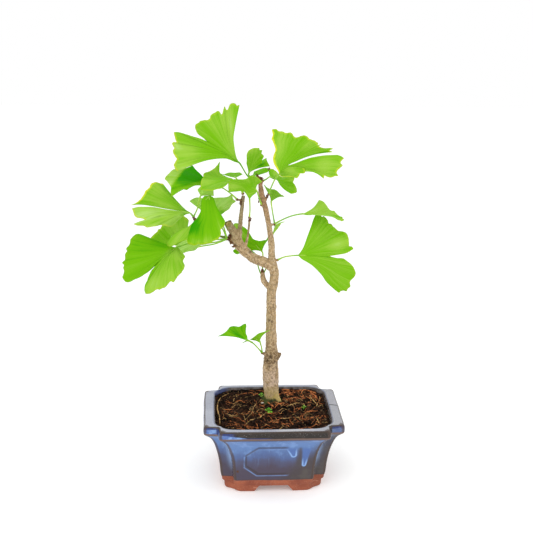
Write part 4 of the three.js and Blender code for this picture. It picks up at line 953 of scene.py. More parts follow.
# the cut face, sawn flat, with the bark standing as a low lip around it
from_cut = places - CUT_MIDDLE
above_cut = from_cut @ np.array(CUT_FACING)
sawn = (above_cut > 0) & (np.linalg.norm(from_cut, axis=1) < 11)
places[sawn] -= above_cut[sawn, None] * np.array(CUT_FACING)
ring_radius = np.linalg.norm(places - CUT_MIDDLE, axis=1)
ring_radius = np.where(np.abs((places - CUT_MIDDLE) @ np.array(CUT_FACING)) < 0.2, ring_radius, 99.0)
trunk.data.vertices.foreach_set("co", in_place(places).ravel())
trunk.data.update()
grain_layer = trunk.data.attributes.new("grain", "FLOAT_VECTOR", "POINT")
grain_layer.data.foreach_set("vector", grain.ravel())
painted(trunk, "scar", scar)
painted(trunk, "ring", np.minimum(ring_radius, 9.0))
x, y, z = places.T
young = np.clip((z - 268) / 45, 0, 1) * (np.abs(x + 8) < 14)
painted(trunk, "young", young)
painted(trunk, "grey", np.clip((z - 262) / 25, 0, 1) * (x < -22))
painted(trunk, "mossy", np.clip((98 - z) / 14, 0, 1))
painted(trunk, "shoot", (x < -49) & (z < 284))
painted(trunk, "worn", np.exp(-(((z - 103) / 15) ** 2)))
collar = np.exp(-(((z - 130) / 11) ** 2)) + 0.5 * np.exp(-(((z - 188) / 5) ** 2))
painted(trunk, "collar", collar + 0.15 * ((x < -12) & (z > 225) & (z < 262)))
bud_share = np.zeros(len(places))
for centre, radius, _ in BUDS:
    far = np.linalg.norm(places - np.array(centre), axis=1) / radius
    bud_share = np.maximum(bud_share, np.clip(2.0 - far, 0, 1))
painted(trunk, "bud", bud_share)
bpy.ops.object.shade_smooth()

bark, tree, shader = named_material("ginkgo_bark")
grain_place = add_node(tree, "Attribute", attribute_name="grain").outputs["Vector"]


def along_grain(scale, squeeze, detail=4.0):
    """Noise drawn out along the grain of the wood, 0 to 1."""
    return cloud_over(grain_place, scale, detail, (1.0, 1.0, squeeze), 0.6)


fibres = along_grain(1.1, 0.10)
fine_fibres = along_grain(3.4, 0.08, 6.0)
pale = times(ramped(cloudy(tree, 430.0, 2.0), 0.52, 0.62), 0.6)
dull = times(ramped(cloudy(tree, 90.0), 0.5, 0.7), 0.35)
worn = times(read_number(tree, "worn"), ramped(cloudy(tree, 120.0), 0.34, 0.52))
# last year's shoot is still green
shoot = times(read_number(tree, "shoot"), 0.8)
# dark pits and specks
rougher = times(read_number(tree, "collar"), 0.07)
pits = ramped(plus(cloudy(tree, 520.0, 2.0), rougher), 0.55, 0.60)
strength = worked("MULTIPLY_ADD", read_number(tree, "collar"), 0.30, 0.38, clamp=True)
flecks = ramped(plus(along_grain(0.62, 0.6, 3.0), rougher), 0.57, 0.62)
moss_share = times(read_number(tree, "mossy"), ramped(cloudy(tree, 160.0), 0.25, 0.55))
# lenticels: pale corky dots
dots = add_node(tree, "TexVoronoi", Vector=grain_place, Scale=0.42, Randomness=1.0)
dot_share = within(dots.outputs["Distance"], 0.10, 0.2)
bark_colour = layered(
    mixed(ramped(fibres, 0.36, 0.62), (0.36, 0.235, 0.115), (0.60, 0.43, 0.245)),
    (pale, (0.68, 0.53, 0.35)),
    (dull, (0.37, 0.27, 0.13)),
    (times(worn, 0.8), (0.76, 0.58, 0.43)),
    (times(read_number(tree, "young"), 0.55), (0.33, 0.14, 0.07)),
    (times(read_number(tree, "grey"), 0.55), (0.25, 0.21, 0.115)),
    (shoot, (0.20, 0.34, 0.035)),
    (times(pits, strength), (0.095, 0.055, 0.024)),
    (times(flecks, strength), (0.12, 0.070, 0.030)),
    (times(moss_share, 0.8), (0.55, 0.43, 0.12)),
    (times(dot_share, 0.6), (0.66, 0.54, 0.38)),
)
# the sawn wood: dark heart, yellow-brown rings, brown bark round it
ring = plus(read_number(tree, "ring"), times(cloudy(tree, 500.0), 0.9))
lines = worked("PINGPONG", ring, 0.45)
sawn_wood = mixed(ramped(lines, 0.0, 0.45), (0.36, 0.24, 0.09), (0.62, 0.46, 0.18))
sawn_wood = mixed(ramped(ring, 0.6, 1.6), (0.19, 0.10, 0.04), sawn_wood)
sawn_wood = mixed(ramped(ring, 3.3, 3.9), sawn_wood, (0.15, 0.085, 0.035))
bark_colour = layered(
    mixed(ramped(ring, 4.3, 4.9), sawn_wood, bark_colour),
    (read_number(tree, "bud"), (0.14, 0.05, 0.025)),
    (read_number(tree, "scar"), (0.05, 0.03, 0.02)),
)
relief = plus(times(fine_fibres, 0.6), times(dot_share, 0.25))
relief = less(relief, times(worked("MAXIMUM", pits, flecks), 0.6))
finished_in(shader, bark_colour, 0.82, relief, 0.0005, shine=0.15, strength=0.9)
coated(trunk, bark)
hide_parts("trunk")
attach(trunk, BODY)

# Bud scales. Dry, pointed brown scales that stay on the short shoots, round the buds the leaves came from.
SCALE_CLUSTERS = [
    # middle, the way they point, how far they spread, length, number
    ((-16.5, 13, 331.4), (-0.6, -0.2, 0.8), 0.55, 5.2, 11),
    ((-13.6, 13, 330.2), (0.5, -0.3, 0.5), 0.8, 4.2, 12),
    ((-5.7, 13.4, 340.4), (0.2, 0, 1), 0.5, 2.2, 5),
    ((-34.6, 15.2, 307), (-0.6, -0.5, 0.6), 0.8, 2.4, 8),
    ((-35, 15.2, 303.6), (-0.7, -0.6, -0.1), 0.8, 2.4, 8),
    ((-46.6, 14.4, 267.6), (-0.4, -0.5, 0.8), 0.9, 2.8, 14),
    ((-46.8, 13.6, 264.6), (-0.5, -0.7, 0.1), 0.9, 2.8, 16),
    ((-45, 12.6, 261.4), (-0.5, -0.8, -0.2), 0.9, 2.8, 16),
    ((-42.4, 12, 257.6), (-0.4, -0.9, -0.4), 0.9, 2.6, 12),
    ((-10.8, 20.8, 227.2), (0, -0.2, 1), 0.5, 3.2, 7),
    ((-7.0, 15.6, 310), (0.15, -0.1, 1), 0.3, 3.0, 6),
    ((-15.8, 16.8, 304.4), (-0.9, 0, 0.2), 0.5, 2.2, 5),
    ((-25.6, 16.6, 285), (0.1, -0.2, 1), 0.6, 2.0, 5),
    ((-84, 12.4, 287.4), (-0.2, -0.1, 1), 0.6, 2.6, 6),
    ((-9.2, 13.2, 134.6), (-0.6, -0.3, 0.8), 0.6, 2.6, 6),
    ((9.4, 16, 133.2), (0.4, -0.2, 0.9), 0.5, 2.6, 6),
    ((1.2, 18.6, 279.6), (0.8, 0, 0.6), 0.5, 2.2, 5),
]
bud_brown = two_toned(
    "bud_scale", (0.055, 0.022, 0.012), (0.25, 0.115, 0.04), (300.0, 0.4, 0.62), 0.7, 1800.0, 0.0002, 0.2
)
scatter = np.random.default_rng(SEED + 40)
scale_lines = []
for middle, facing, spread, length, count in SCALE_CLUSTERS:
    facing = np.array(facing) / np.linalg.norm(facing)
    for k in range(count):
        way = facing + scatter.normal(size=3) * spread
        way /= np.linalg.norm(way)
        long = length * scatter.uniform(0.55, 1.1)
        root = np.array(middle) + scatter.normal(size=3) * 0.55 - way * 0.8
        hook = scatter.normal(size=3) * 0.35
        bends = ((0.4, 0.0), (0.75, 0.4), (1.0, 1.0))
        path = [root] + [root + way * long * part + hook * bent for part, bent in bends]
        wide = scatter.uniform(0.45, 0.85)
        scale_lines.append((path, [wide, wide * 0.9, wide * 0.5, 0.08]))
scales = strands("bud_scales", scale_lines, rounding=1)
coated(scales, bud_brown)
bpy.ops.object.shade_smooth()
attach(scales, BODY)

# Soil. Dark peat and composted bark, heaped a little towards the trunk, with a loose surface of
# crumbs, reddish wood fibres, fine roots and straws. It fills the pot to just under the rim.
SOIL_LEVELS = [
    # half length, half width, height, from the surface down
    (61.5, 52.6, 71.7), (59.4, 49.9, 60.0), (54.4, 46.4, 44.0), (51.4, 44.4, 28.0), (49.4, 42.9, 17.0),
    (46.4, 39.9, 14.7),
]
SOIL_ROUNDS = 74
MOUND_MIDDLE, MOUND_HEIGHT, MOUND_RADIUS = (1.0, 17.0), 6.6, 42.0
rng = np.random.default_rng(SEED)


def soil_height(x, y):
    away = math.hypot(x - MOUND_MIDDLE[0], (y - MOUND_MIDDLE[1]) * 1.1) / MOUND_RADIUS
    wide = 0.7 * math.sin(x * 0.55 + 1.3 * math.sin(y * 0.31)) * math.cos(y * 0.62 + math.sin(x * 0.23))
    wide += 0.5 * math.sin(x * 0.21 - y * 0.34 + 2)
    banked = 1.8 * min(1.0, max(0.0, (y - 24.0) / 24.0))
    return 73.4 + MOUND_HEIGHT * math.exp(-away * away * 1.6) + wide + banked


outline = pot_outline(*SOIL_LEVELS[0][:2], 15.0, 14.0, 0.40, 5.0, 0.0)
angles = np.arctan2(outline[:, 1], outline[:, 0])
order = np.argsort(angles)
side = 2 * SOIL_ROUNDS + 1
top = np.zeros((side, side, 3))
for r in range(side):
    for c in range(side):
        u, v = (c - SOIL_ROUNDS) / SOIL_ROUNDS, (r - SOIL_ROUNDS) / SOIL_ROUNDS
        out = max(abs(u), abs(v))
        if out == 0:
            x = y = 0.0
        else:
            turn = math.atan2(v / out * SOIL_LEVELS[0][1], u / out * SOIL_LEVELS[0][0])
            reach = [np.interp(turn, angles[order], outline[order, k], period=2 * math.pi) for k in (0, 1)]
            x, y = reach[0] * out, reach[1] * out
        place = Vector((x, y, 0))
        edge_fall = 1.0 - max(0.0, (out - 0.9) / 0.1) ** 2
        bits = noise.voronoi(place * 0.33)[0]
        crumb = (bits[1] - bits[0]) * 1.5 + noise.turbulence(place * 0.35, 3, False) * 1.8
        crumb += noise.noise(place * 1.2) * 0.6
        hollow = noise.noise(place * 0.09 + Vector((5, 3, 1))) * 1.1
        z = soil_height(x, y) + (crumb - 1.5 + hollow) * (0.35 + 0.65 * edge_fall) - 0.8 * (1 - edge_fall)
        top[r, c] = (x, y, z)
soil, row, column = shaped_grid("potting_soil", in_place(top))
bpy.ops.object.mode_set(mode="EDIT")
bpy.ops.mesh.select_all(action="SELECT")
bpy.ops.mesh.region_to_loop()
bpy.ops.object.mode_set(mode="OBJECT")
for (a0, b0, z0), (a1, b1, z1) in zip(SOIL_LEVELS, SOIL_LEVELS[1:]):
    bpy.ops.object.mode_set(mode="EDIT")
    bpy.ops.mesh.extrude_region_move(TRANSFORM_OT_translate={"value": (0, 0, 0)})
    bpy.ops.object.mode_set(mode="OBJECT")
    for vertex in soil.data.vertices:
        if vertex.select:
            x, y, _ = (np.array(vertex.co) - POT_MIDDLE) / MM
            vertex.co = Vector(in_place((x * a1 / a0, y * b1 / b0, z1)))
bpy.ops.object.mode_set(mode="EDIT")
bpy.ops.mesh.edge_face_add()
bpy.ops.mesh.select_all(action="SELECT")
bpy.ops.mesh.normals_make_consistent(inside=False)
bpy.ops.object.mode_set(mode="OBJECT")
bpy.ops.object.shade_smooth()

earth, tree, shader = named_material("potting_earth")
place = add_node(tree, "TexCoord").outputs["Object"]
bits = add_node(tree, "TexVoronoi", Vector=place, Scale=420.0, Randomness=1.0)
tint = add_node(tree, "SeparateColor", Color=bits.outputs["Color"])
clumps = cloudy(tree, 60.0)
earth_colour = mixed(ramped(clumps, 0.35, 0.7), (0.002, 0.0013, 0.001), (0.022, 0.011, 0.006))
earth_colour = mixed(times(ramped(tint.outputs["Red"], 0.65, 1.0), 0.6), earth_colour, (0.105, 0.036, 0.016))
earth_colour = mixed(times(ramped(tint.outputs["Green"], 0.9, 1.0), 0.6), earth_colour, (0.24, 0.15, 0.075))
crumbly = plus(bits.outputs["Distance"], cloudy(tree, 700.0))
finished_in(shader, earth_colour, 0.95, crumbly, 0.0008, shine=0.08)
coated(soil, earth)
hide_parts("soil")
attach(soil, BODY)

# Soil litter: wood fibres and rootlets that lie on the surface, a few long pale straws, bark crumbs,
# and one white grain of grit.
FIBRE_TONES = {
    # number, colour, length, radius, and how far they turn from lying along the pot
    "red_fibres": (150, (0.64, 0.205, 0.065), (7, 22), 0.36, 0.6),
    "brown_fibres": (260, (0.055, 0.021, 0.010), (6, 20), 0.45, 1.0),
    "straw_fibres": (120, (0.72, 0.44, 0.17), (4, 13), 0.24, 0.9),
}
STRAWS = [
    # the fibres they match, points across the soil, and the radius
    ("straw_fibres", [(-56.5, 33), (-58.6, 25), (-60.2, 8), (-59.6, -3), (-58, -16), (-57.6, -35)], 0.62),
    ("straw_fibres", [(-30, -37), (-26, -29), (-21, -25), (-14, -21), (-11, -16), (-7, -10)], 0.62),
    ("straw_fibres", [(-31, -24), (-26, -18), (-22, -9), (-20, 1), (-11, 13), (-6, 17)], 0.42),
    ("red_fibres", [(-4.6, 7.6), (-2, 3.4), (2.4, -4)], 0.75),
    ("straw_fibres", [(16.4, 0), (21.9, 5), (26.8, 9.6), (32, 12)], 0.5),
    ("straw_fibres", [(45.2, 35.6), (47.4, 24.5), (50.1, 17.6), (51.7, 10.8)], 0.62),
    ("red_fibres", [(31.3, -26), (33.2, -17.3), (38.3, -9.8), (43.1, -6), (48.7, 4.2)], 0.6),
    ("red_fibres", [(28.6, -19.6), (32.2, -27.3), (38.7, -27.5), (43.7, -21.4), (51, -15.3)], 0.55),
    ("red_fibres", [(18.5, 26.7), (21.9, 33.5), (26.9, 37.6), (32, 41.5)], 0.6),
    ("red_fibres", [(13.2, 46), (19.7, 47), (27.7, 45.5)], 0.65),
    ("red_fibres", [(13, 35.2), (19, 39.2), (25, 43.3)], 0.6),
    ("red_fibres", [(36, 36), (38.6, 44), (42, 47), (44.1, 42.7)], 0.6),
    ("red_fibres", [(46, 44), (50, 36), (53, 28), (56, 20)], 0.8),
    ("red_fibres", [(43, 45), (49, 42), (54, 40)], 0.9),
    ("red_fibres", [(-34, -36), (-25.8, -43.7), (-16.3, -45)], 0.5),
    ("straw_fibres", [(-50.7, -8.3), (-45.4, -14.8), (-35.7, -18.9)], 0.4),
    ("straw_fibres", [(47, -21.5), (48.3, -29), (49.1, -36.4)], 0.6),
    ("straw_fibres", [(8.4, -26.5), (15, -25.5), (20.6, -23.2)], 0.5),
    ("red_fibres", [(8, -34), (13, -39), (15.6, -45)], 0.5),
    ("red_fibres", [(18, -28), (20.5, -38)], 0.6),
    ("straw_fibres", [(50, 6), (53, 14), (56, 24), (57, 32)], 0.4),
]


def surface_height(x, y):
    """The height of the finished soil surface under a place."""
    hit, place, _, _ = soil.ray_cast(Vector(in_place((x, y, 120))), Vector((0, 0, -1)))
    return (place.z / MM) if hit else 70.0


def inside_soil(x, y):
    clear_of_trunk = math.hypot(x - 1, y - 17) > 8.5
    return abs(x) < 59 and abs(y) < 50.5 and abs(x) / 59 + abs(y) / 50.5 < 1.66 and clear_of_trunk


def fibre(x, y, turn, length, radius, lift):
    """One bent strand lying on the surface."""
    points = []
    count = max(4, int(length / 2.2))
    heading = turn
    bend = rng.normal(0, 0.09)
    for k in range(count + 1):
        if not inside_soil(x, y):
            break
        hump = lift * math.sin(math.pi * k / count)
        points.append((x, y, surface_height(x, y) + radius * 0.6 + hump))
        x += math.cos(heading) * length / count
        y += math.sin(heading) * length / count
        heading += bend + rng.normal(0, 0.10)
    shares = [(k + 0.5) / max(1, len(points)) for k in range(len(points))]
    return points, [radius * (0.55 + 0.45 * math.sin(math.pi * share)) for share in shares]


for name, (count, tone, (short, long), radius, turning) in FIBRE_TONES.items():
    lines = []
    while len(lines) < count:
        x, y = rng.uniform(-60, 60), rng.uniform(-51, 51)
        if name == "red_fibres" and len(lines) > 125:
            x, y = rng.uniform(10, 59), rng.uniform(14, 50)
        if not inside_soil(x, y):
            continue
        lean = rng.normal(0.0, turning) + (0.4 if x > 0 else -0.2)
        length, thick, lift = rng.uniform(short, long), radius * rng.uniform(0.5, 1.4), rng.uniform(0, 1.4)
        line = fibre(x, y, lean, length, thick, lift)
        if len(line[0]) > 3:
            lines.append(line)
    for kind, points, thick in STRAWS:
        if kind == name:
            path = smooth_line(points, 1.8)
            path = path + rng.normal(0, 0.05, path.shape)
            ground = np.array([surface_height(x, y) for x, y in path])
            padded = np.pad(ground, 3, "edge")
            level_ground = np.maximum(ground, np.convolve(padded, np.ones(7) / 7, "valid"))
            spots = [(x, y, height + thick + 0.4) for (x, y), height in zip(path, level_ground)]
            shares = [(k + 1) / (len(path) + 1) for k in range(len(path))]
            lines.append((spots, [thick * (0.6 + 0.4 * math.sin(math.pi * share)) for share in shares]))
    litter = strands(name, lines, rounding=0)
    dark = tuple(value * 0.2 for value in tone)
    coated(litter, two_toned(name, dark, tone, (260.0, 0.38, 0.6), 0.8, 2500.0, 0.0001, 0.2))
    bpy.ops.object.shade_smooth()
    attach(litter, BODY)

FULL_TURN = 6.28
# The shake comes from the clock unless it is seeded.
noise.seed_set(SEED)


def roughened(piece, pitch, amount):
    """Shakes a piece's points out of place, so that it isn't a smooth ball."""
    shaken = [Vector(p) + noise.noise_vector(Vector(p) * pitch) * amount for p in vertices_of(piece)]
    piece.data.vertices.foreach_set("co", np.array(shaken).ravel())


crumbs = []
for k in range(150):
    while True:
        x, y = rng.uniform(-59, 59), rng.uniform(-50, 50)
        if inside_soil(x, y):
            break
    size = rng.uniform(0.6, 1.7)
    crumb = ball("crumb", (0, 0, 0), size, detail=1)
    turn = Matrix.Rotation(rng.uniform(0, FULL_TURN), 4, Vector(rng.normal(size=3)).normalized())
    flat = Matrix.Diagonal((rng.uniform(0.7, 1.7), rng.uniform(0.6, 1.1), rng.uniform(0.35, 0.8), 1.0))
    spot = Vector(in_place((x, y, surface_height(x, y) + size * 0.2)))
    crumb.data.transform(Matrix.Translation(-Vector(in_place((0, 0, 0)))))
    crumb.data.transform(Matrix.Translation(spot) @ turn @ flat)
    crumbs.append(crumb)
litter = joined("bark_crumbs", crumbs)
roughened(litter, 900, 0.0004)
coated(litter, earth)
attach(litter, BODY)

grit = ball("grit_grain", (0, 0, 0), 1.0, (1.8, 1.0, 0.7), detail=3)
grit.data.transform(Matrix.Translation(Vector((-9.8, 7.5, surface_height(-9.8, 7.5) + 0.4)) * MM))
roughened(grit, 700, 0.0004)
coated(grit, two_toned("white_grit", (0.45, 0.38, 0.28), (0.8, 0.76, 0.68), (900.0,), 0.7, 1800.0, 0.0002))
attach(grit, BODY)

# Moss. Short green shoots that crowd round the trunk's foot and thin out over the soil.
lines = []
while len(lines) < 900:
    turn, far = rng.uniform(0, FULL_TURN), 8.0 + abs(rng.normal(0, 3.0))
    x, y = 1 + math.cos(turn) * far, 17 + math.sin(turn) * far
    if far > 16 or not inside_soil(x, y) or (x > 6 and rng.random() < 0.5):
        continue
    foot = surface_height(x, y) - 0.3
    tall = rng.uniform(2.0, 5.4) * max(0.22, 1.15 - (far - 8) / 4.5)
    if x > 7:
        tall = tall * 0.4
    lean = rng.normal(0, 0.5, 2)
    bends = ((0.0, 0.0), (0.4, 0.6), (1.0, 1.0))
    shoot = [(x + lean[0] * out, y + lean[1] * out, foot + tall * risen) for out, risen in bends]
    lines.append((shoot, [0.3, 0.26, 0.1]))
moss = strands("foot_moss", lines, rounding=0)
MOSS_DARK, MOSS_LIGHT = (0.022, 0.032, 0.008), (0.12, 0.145, 0.028)
coated(moss, two_toned("moss_shoots", MOSS_DARK, MOSS_LIGHT, (220.0, 0.35, 0.65), 0.75, 2500.0, 0.0001))
bpy.ops.object.shade_smooth()
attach(moss, BODY)

# Leaves. Living ginkgo leaves on long thin stalks. Each blade is a fan of forking veins that spread from
# the stalk to a wavy, toothed margin. Light through the thin blades is a painted glow, and each blade's
# light and shade is painted into its green.
VEIN_COLUMNS = 1.1
VEIN_ROWS = 18
BLADE_THICKNESS = 0.42
STALK_RADIUS = 0.85
# A leaf's tone, patches and fold shades hold painted light and shade as well as its own green.
PLAIN_LEAF = {
    "sides": ([], []), "patches": [], "folds": [], "flare": 1.5, "belly": 2, "teeth": [0.3],
    "tone": 0.5, "gold": 0.1, "gold_side": "", "shows": "top",
}
SPRAYS = {}


def leaf(spray, name, stalk, edge, **more):
    """Notes down a leaf: the points of its stalk, the strokes of its margin and what isn't plain."""
    SPRAYS.setdefault(spray, {})[name] = {**PLAIN_LEAF, "stalk": stalk, "edge": edge, **more}


leaf(
    "leaves_apex", "crown", [(-11.5, 22, 326), (-19.5, 22, 325), (-27, 20, 331), (-36, 14, 346)],
    [[(-36.2, 26, 404.7), (-38.8, 25, 403.8), (-40.3, 25, 405.3), (-41.9, 25, 406.3), (-45, 24, 405.9),
     (-46.6, 23, 404.5), (-47.6, 22, 402), (-49.2, 21, 399.6), (-50.2, 21, 400.1), (-51.2, 21, 402.6),
     (-51.9, 22, 403.1), (-53, 20, 400.1), (-54.3, 18, 396.2), (-55.4, 18, 395.3), (-56.4, 18, 397.8),
     (-58.9, 18, 399.3), (-61, 16, 398), (-64.1, 15, 396.6), (-66.1, 14, 394.7), (-66.6, 12, 392.8),
     (-68.7, 11, 390.9), (-72.7, 10, 390.7), (-76.8, 9, 389.8), (-78.8, 8, 388.1), (-81.4, 7, 386.7),
     (-81.9, 7, 384.2), (-80.9, 6, 380.8), (-78.9, 6, 377.2), (-75.9, 7, 374.6), (-72.8, 8, 371.9),
     (-70.3, 9, 369.3)],
     [(-70.3, 9, 369.3), (-72.8, 8, 370.4), (-76.9, 6, 372.7), (-85.9, 4, 375.5), (-92, 3, 377.6),
      (-100, 3, 379.6), (-103.2, 2, 379.4)],
     [(-103.2, 2, 379.4), (-102.5, 1, 375.8), (-101.5, -1, 372), (-101, -2, 369.7), (-104, -2, 370.1),
      (-105, -3, 368.2), (-103.5, -4, 365.8), (-102.5, -4, 364.4), (-104, -5, 361.9), (-103.5, -5, 359.4),
      (-102, -6, 356.5), (-100.6, -6, 353.1), (-102.1, -7, 350.6), (-103.6, -7, 347.6), (-102.6, -8, 344.7),
      (-100.1, -9, 341.8)]],
    sides=[[(-38.9, 14, 350.5), (-40.5, 15, 355.6), (-42, 17, 365.7), (-42.5, 18, 371.7),
     (-40.4, 21, 384.8), (-38.8, 23, 392.8), (-37.2, 25, 399.8)],
     [(-40, 13, 347), (-48.3, 11, 350.9), (-54.5, 8, 351.9), (-68.9, 4, 350.7), (-84.1, -2, 346.8),
      (-96.1, -8, 342.6)]],
    patches=[(-46, 20, 386, 4, 16, 0.3), (-54, 17, 388, 8, 12, 0.1), (-62, 9, 361, 9, 16, -0.12),
     (-91, -1, 360, 8, 12, 0.2), (-101, -3, 366, 4, 6, 0.35), (-94, -6, 344, 6, 10, 0.3),
     (-44, 14, 360, 4, 14, 0.15)],
    flare=1.6, belly=3, teeth=[0.4, 0.1, 0.4], gold=[0.3, 0.05, 0.55],
)
leaf(
    "leaves_apex", "tip", [(-11.5, 22, 326), (-21, 20, 328), (-27, 12, 335)],
    [[(-30, 0, 348.7), (-29.1, -1, 357), (-27.1, -1, 360.1), (-21.9, 1, 363.9), (-17.2, 3, 364.1),
     (-16.6, 5, 361.8), (-12.8, 8, 360.4), (-13.2, 11, 356.8), (-10.9, 14, 353.7), (-12.8, 17, 349)],
     [(-12.8, 17, 349), (-12.6, 20, 345.4), (-8.3, 22, 347.7), (-7.7, 24, 350.1), (-6.4, 27, 346.5),
      (-3.9, 32, 340.3)]],
    patches=[(-12, 21, 343, 6, 8, -0.45), (-24, 2, 362, 5, 5, 0.2)],
    belly=1, teeth=[0.3, 0.2],
)
leaf(
    "leaves_apex", "tuft", [(-11.5, 22, 326), (-19, 24, 326), (-25, 27, 330)],
    [[(-20, 46, 332), (-12, 52, 333), (-3, 48, 335)],
     [(-3, 48, 335), (-7, 38, 333), (-12, 28, 333)]],
    flare=1.4, belly=1, teeth=[0.4, 0.2], tone=0.3,
)
leaf(
    "leaves_apex", "behind", [(-11.5, 22, 326), (-8, 21, 328), (-4, 20, 331)],
    [[(-4.3, 51, 334.3), (1.1, 52, 333.7), (5.5, 51, 330.5), (9.7, 49, 326.6), (17.1, 45, 326.2),
     (23.3, 42, 326.7), (23.6, 39, 324.5), (22.4, 37, 323.3), (23.7, 33, 320.8), (25.5, 28, 317.3),
     (25.2, 23, 314.5), (20.6, 20, 313), (18.4, 19, 312.9)]],
    sides=[[],
     [(3.6, 22, 327.1), (6.8, 21, 321.9), (12.1, 20, 316.7)]],
    patches=[(4, 46, 330, 5, 6, 0.25), (21, 37, 325, 4, 5, 0.2)],
    belly=3, teeth=[0.4], tone=0.42, gold=0.2,
)
leaf(
    "leaf_gold", "gold", [(-5.6, 16, 313), (-3, 13, 321), (1, 9, 331), (5, 7, 336)],
    [[(-1.9, 34, 378.2), (-0.6, 34, 378.7), (2.5, 34, 379.2), (5.7, 33, 376.7), (9.9, 32, 376.1),
     (14, 30, 375), (17, 29, 376.2), (19.5, 28, 374.9), (21, 26, 372.5), (24, 24, 371.7), (27, 23, 373),
     (31, 21, 374.4), (34, 19, 374), (35.9, 17, 371.7), (38.8, 15, 370.2), (42.8, 13, 369.2),
     (44.7, 11, 367.9), (44.1, 9, 366), (47.6, 9, 366.7), (45.4, 7, 364.8), (48.3, 5, 364.3),
     (53.1, 2, 364.2), (59, -1, 363.4), (54.7, -2, 362.3), (58.2, -3, 361.3), (53.5, -4, 360.3)]],
    sides=[[(2.5, 10, 340.9), (0, 12, 344.7), (-1.4, 14, 348.5), (-1.5, 16, 351.3), (-0.2, 19, 355.1),
     (1.5, 21, 359), (0.5, 23, 362.8), (-0.9, 26, 366.6), (-2.7, 29, 370.4), (-0.8, 30, 372.4)],
     [(8.6, 8, 341.7), (13.2, 8, 345.4), (15.7, 7, 347.1), (20.8, 6, 349.5), (26.8, 5, 352.6),
      (33.8, 3, 355.6), (40.8, 1, 357.9), (47.7, -2, 359.4)]],
    patches=[(3, 21, 359, 4, 16, 0.1), (8, 23, 364, 5, 18, 0.18), (37, 12, 365, 8, 10, 0.08),
     (22, 11, 354, 7, 12, -0.06)],
    teeth=[0.4], tone=0.46, gold=[0.45], gold_side="first",
)
leaf(
    "leaf_gold", "gold_low", [(1, 9, 331), (5, 7, 336)],
    [[(67.5, -23, 357.6), (64.9, -24, 354.8), (64.3, -25, 352), (66.2, -27, 350.2), (63.1, -28, 347.9),
     (60.4, -29, 346.5), (59.3, -30, 343.8), (60.7, -32, 341.5), (57.8, -31, 341.4), (54, -30, 339.7),
     (50.2, -28, 339.8), (47.9, -26, 340.5), (47.2, -26, 337.3)]],
    sides=[[(8.4, 5, 342), (12.9, 4, 345.7), (16.3, 1, 346.9), (21.3, -1, 349), (27.1, -3, 351.8),
     (33.9, -6, 354.8), (40.7, -10, 357), (48.4, -13, 358.7), (56.1, -17, 359.7), (62.7, -20, 360.1)],
     [(12.4, 2, 336.4), (20.2, -3, 339.6), (27.9, -8, 343.2), (32.7, -12, 343.3), (37.3, -16, 342.2),
      (42, -20, 340.6)]],
    patches=[(49, -18, 347, 10, 8, 0.22), (35, -7, 351, 5, 14, -0.1)],
    teeth=[0.4], tone=0.54, gold=[0.5],
)
leaf(
    "leaf_gold", "gold_fold", [(1, 9, 331), (5, 7, 336)],
    [[(28.5, -10, 344.8), (30.2, -10, 342.3), (29.5, -10, 339.7), (25.1, -8, 339), (24.2, -7, 337.2),
     (21.6, -7, 334.5), (18, -5, 335.7), (12, -4, 335), (6.5, -2, 335), (3.6, 0, 338.2)]],
    sides=[[(10.3, 3, 342.4), (20.1, -4, 345.6)],
     []],
    patches=[(15, -1, 340, 8, 6, 0.22)],
    teeth=[0.15], tone=0.52, gold=[0.45],
)
leaf(
    "leaf_front", "front", [(-13, 13, 302), (-16, 9, 311), (-18.5, 5, 319)],
    [[(-47.5, -6, 319.6), (-48.1, -11, 325.8), (-47.6, -15, 331.6), (-43.7, -19, 334.5),
     (-36.8, -23, 335.8), (-30.8, -25, 337.2), (-26.8, -24, 339.4), (-20.6, -19, 337.6),
     (-14.1, -13, 331.3)]],
    sides=[[(-19.4, 3, 316.9), (-23.6, 0, 314.3), (-26.3, -2, 311.6), (-29.9, -2, 317.3), (-33, -3, 320),
     (-40.3, -4, 319.8)],
     []],
    patches=[(-44, -9, 326, 5, 6, 0.2), (-26, -6, 326, 5, 6, -0.1)],
)
leaf(
    "leaves_right", "shade", [(1.6, 19, 280), (-0.6, 20, 292), (-2.5, 19, 304)],
    [[(-9.2, 43, 318.4), (-6.1, 46, 315.1), (-2.1, 47, 312.6), (3.2, 45, 311.8), (8.3, 40, 309.6),
     (12.6, 32, 307.3)]],
    sides=[[(-3.2, 28, 308.2), (-6.5, 36, 313.6)],
     [(0.8, 24, 305.7), (6.5, 29, 307.4)]],
    flare=1.6, tone=0.62, gold=0.0,
)
leaf(
    "leaves_right", "reach", [(1.6, 19, 280), (7, 15, 284.5), (19, 12, 290.5), (31, 11, 293)],
    [[(51.3, 44, 301.1), (55.7, 43, 299), (58.9, 41, 295.5), (61.3, 38, 292.3), (63.6, 34, 290.9),
     (66.3, 30, 291.3), (68.2, 24, 290), (71.2, 17, 289.2), (73.1, 12, 289.2), (72.7, 9, 287.9),
     (73.9, 6, 286.9), (71.4, 3, 286)],
     [(71.4, 3, 286), (69.3, 3, 287.1), (68, 9, 286.7)]],
    sides=[[(37.8, 17, 295.2), (42.8, 25, 296.3), (46.9, 33, 298.4)],
     [(36.3, 12, 292.2), (53.4, 13, 291.6), (59.7, 12, 291.2), (63.9, 11, 289.1)]],
    patches=[(68, 13, 289, 6, 7, -0.35), (44, 21, 294, 3, 9, 0.15)],
    flare=1.8, teeth=[0.3, 0.2], tone=0.66, gold=0.15,
)
leaf(
    "leaves_right", "bract", [(1.6, 19, 280), (2, 21, 277)],
    [[(13.1, 25, 281.4), (10.1, 28, 280.1), (8.8, 31, 275.1), (6.4, 35, 270.9), (2.3, 38, 266.8),
     (0.3, 40, 261.8)]],
    patches=[(4, 24, 278, 4, 5, -0.25)],
    flare=1.3, belly=1, tone=0.75,
)
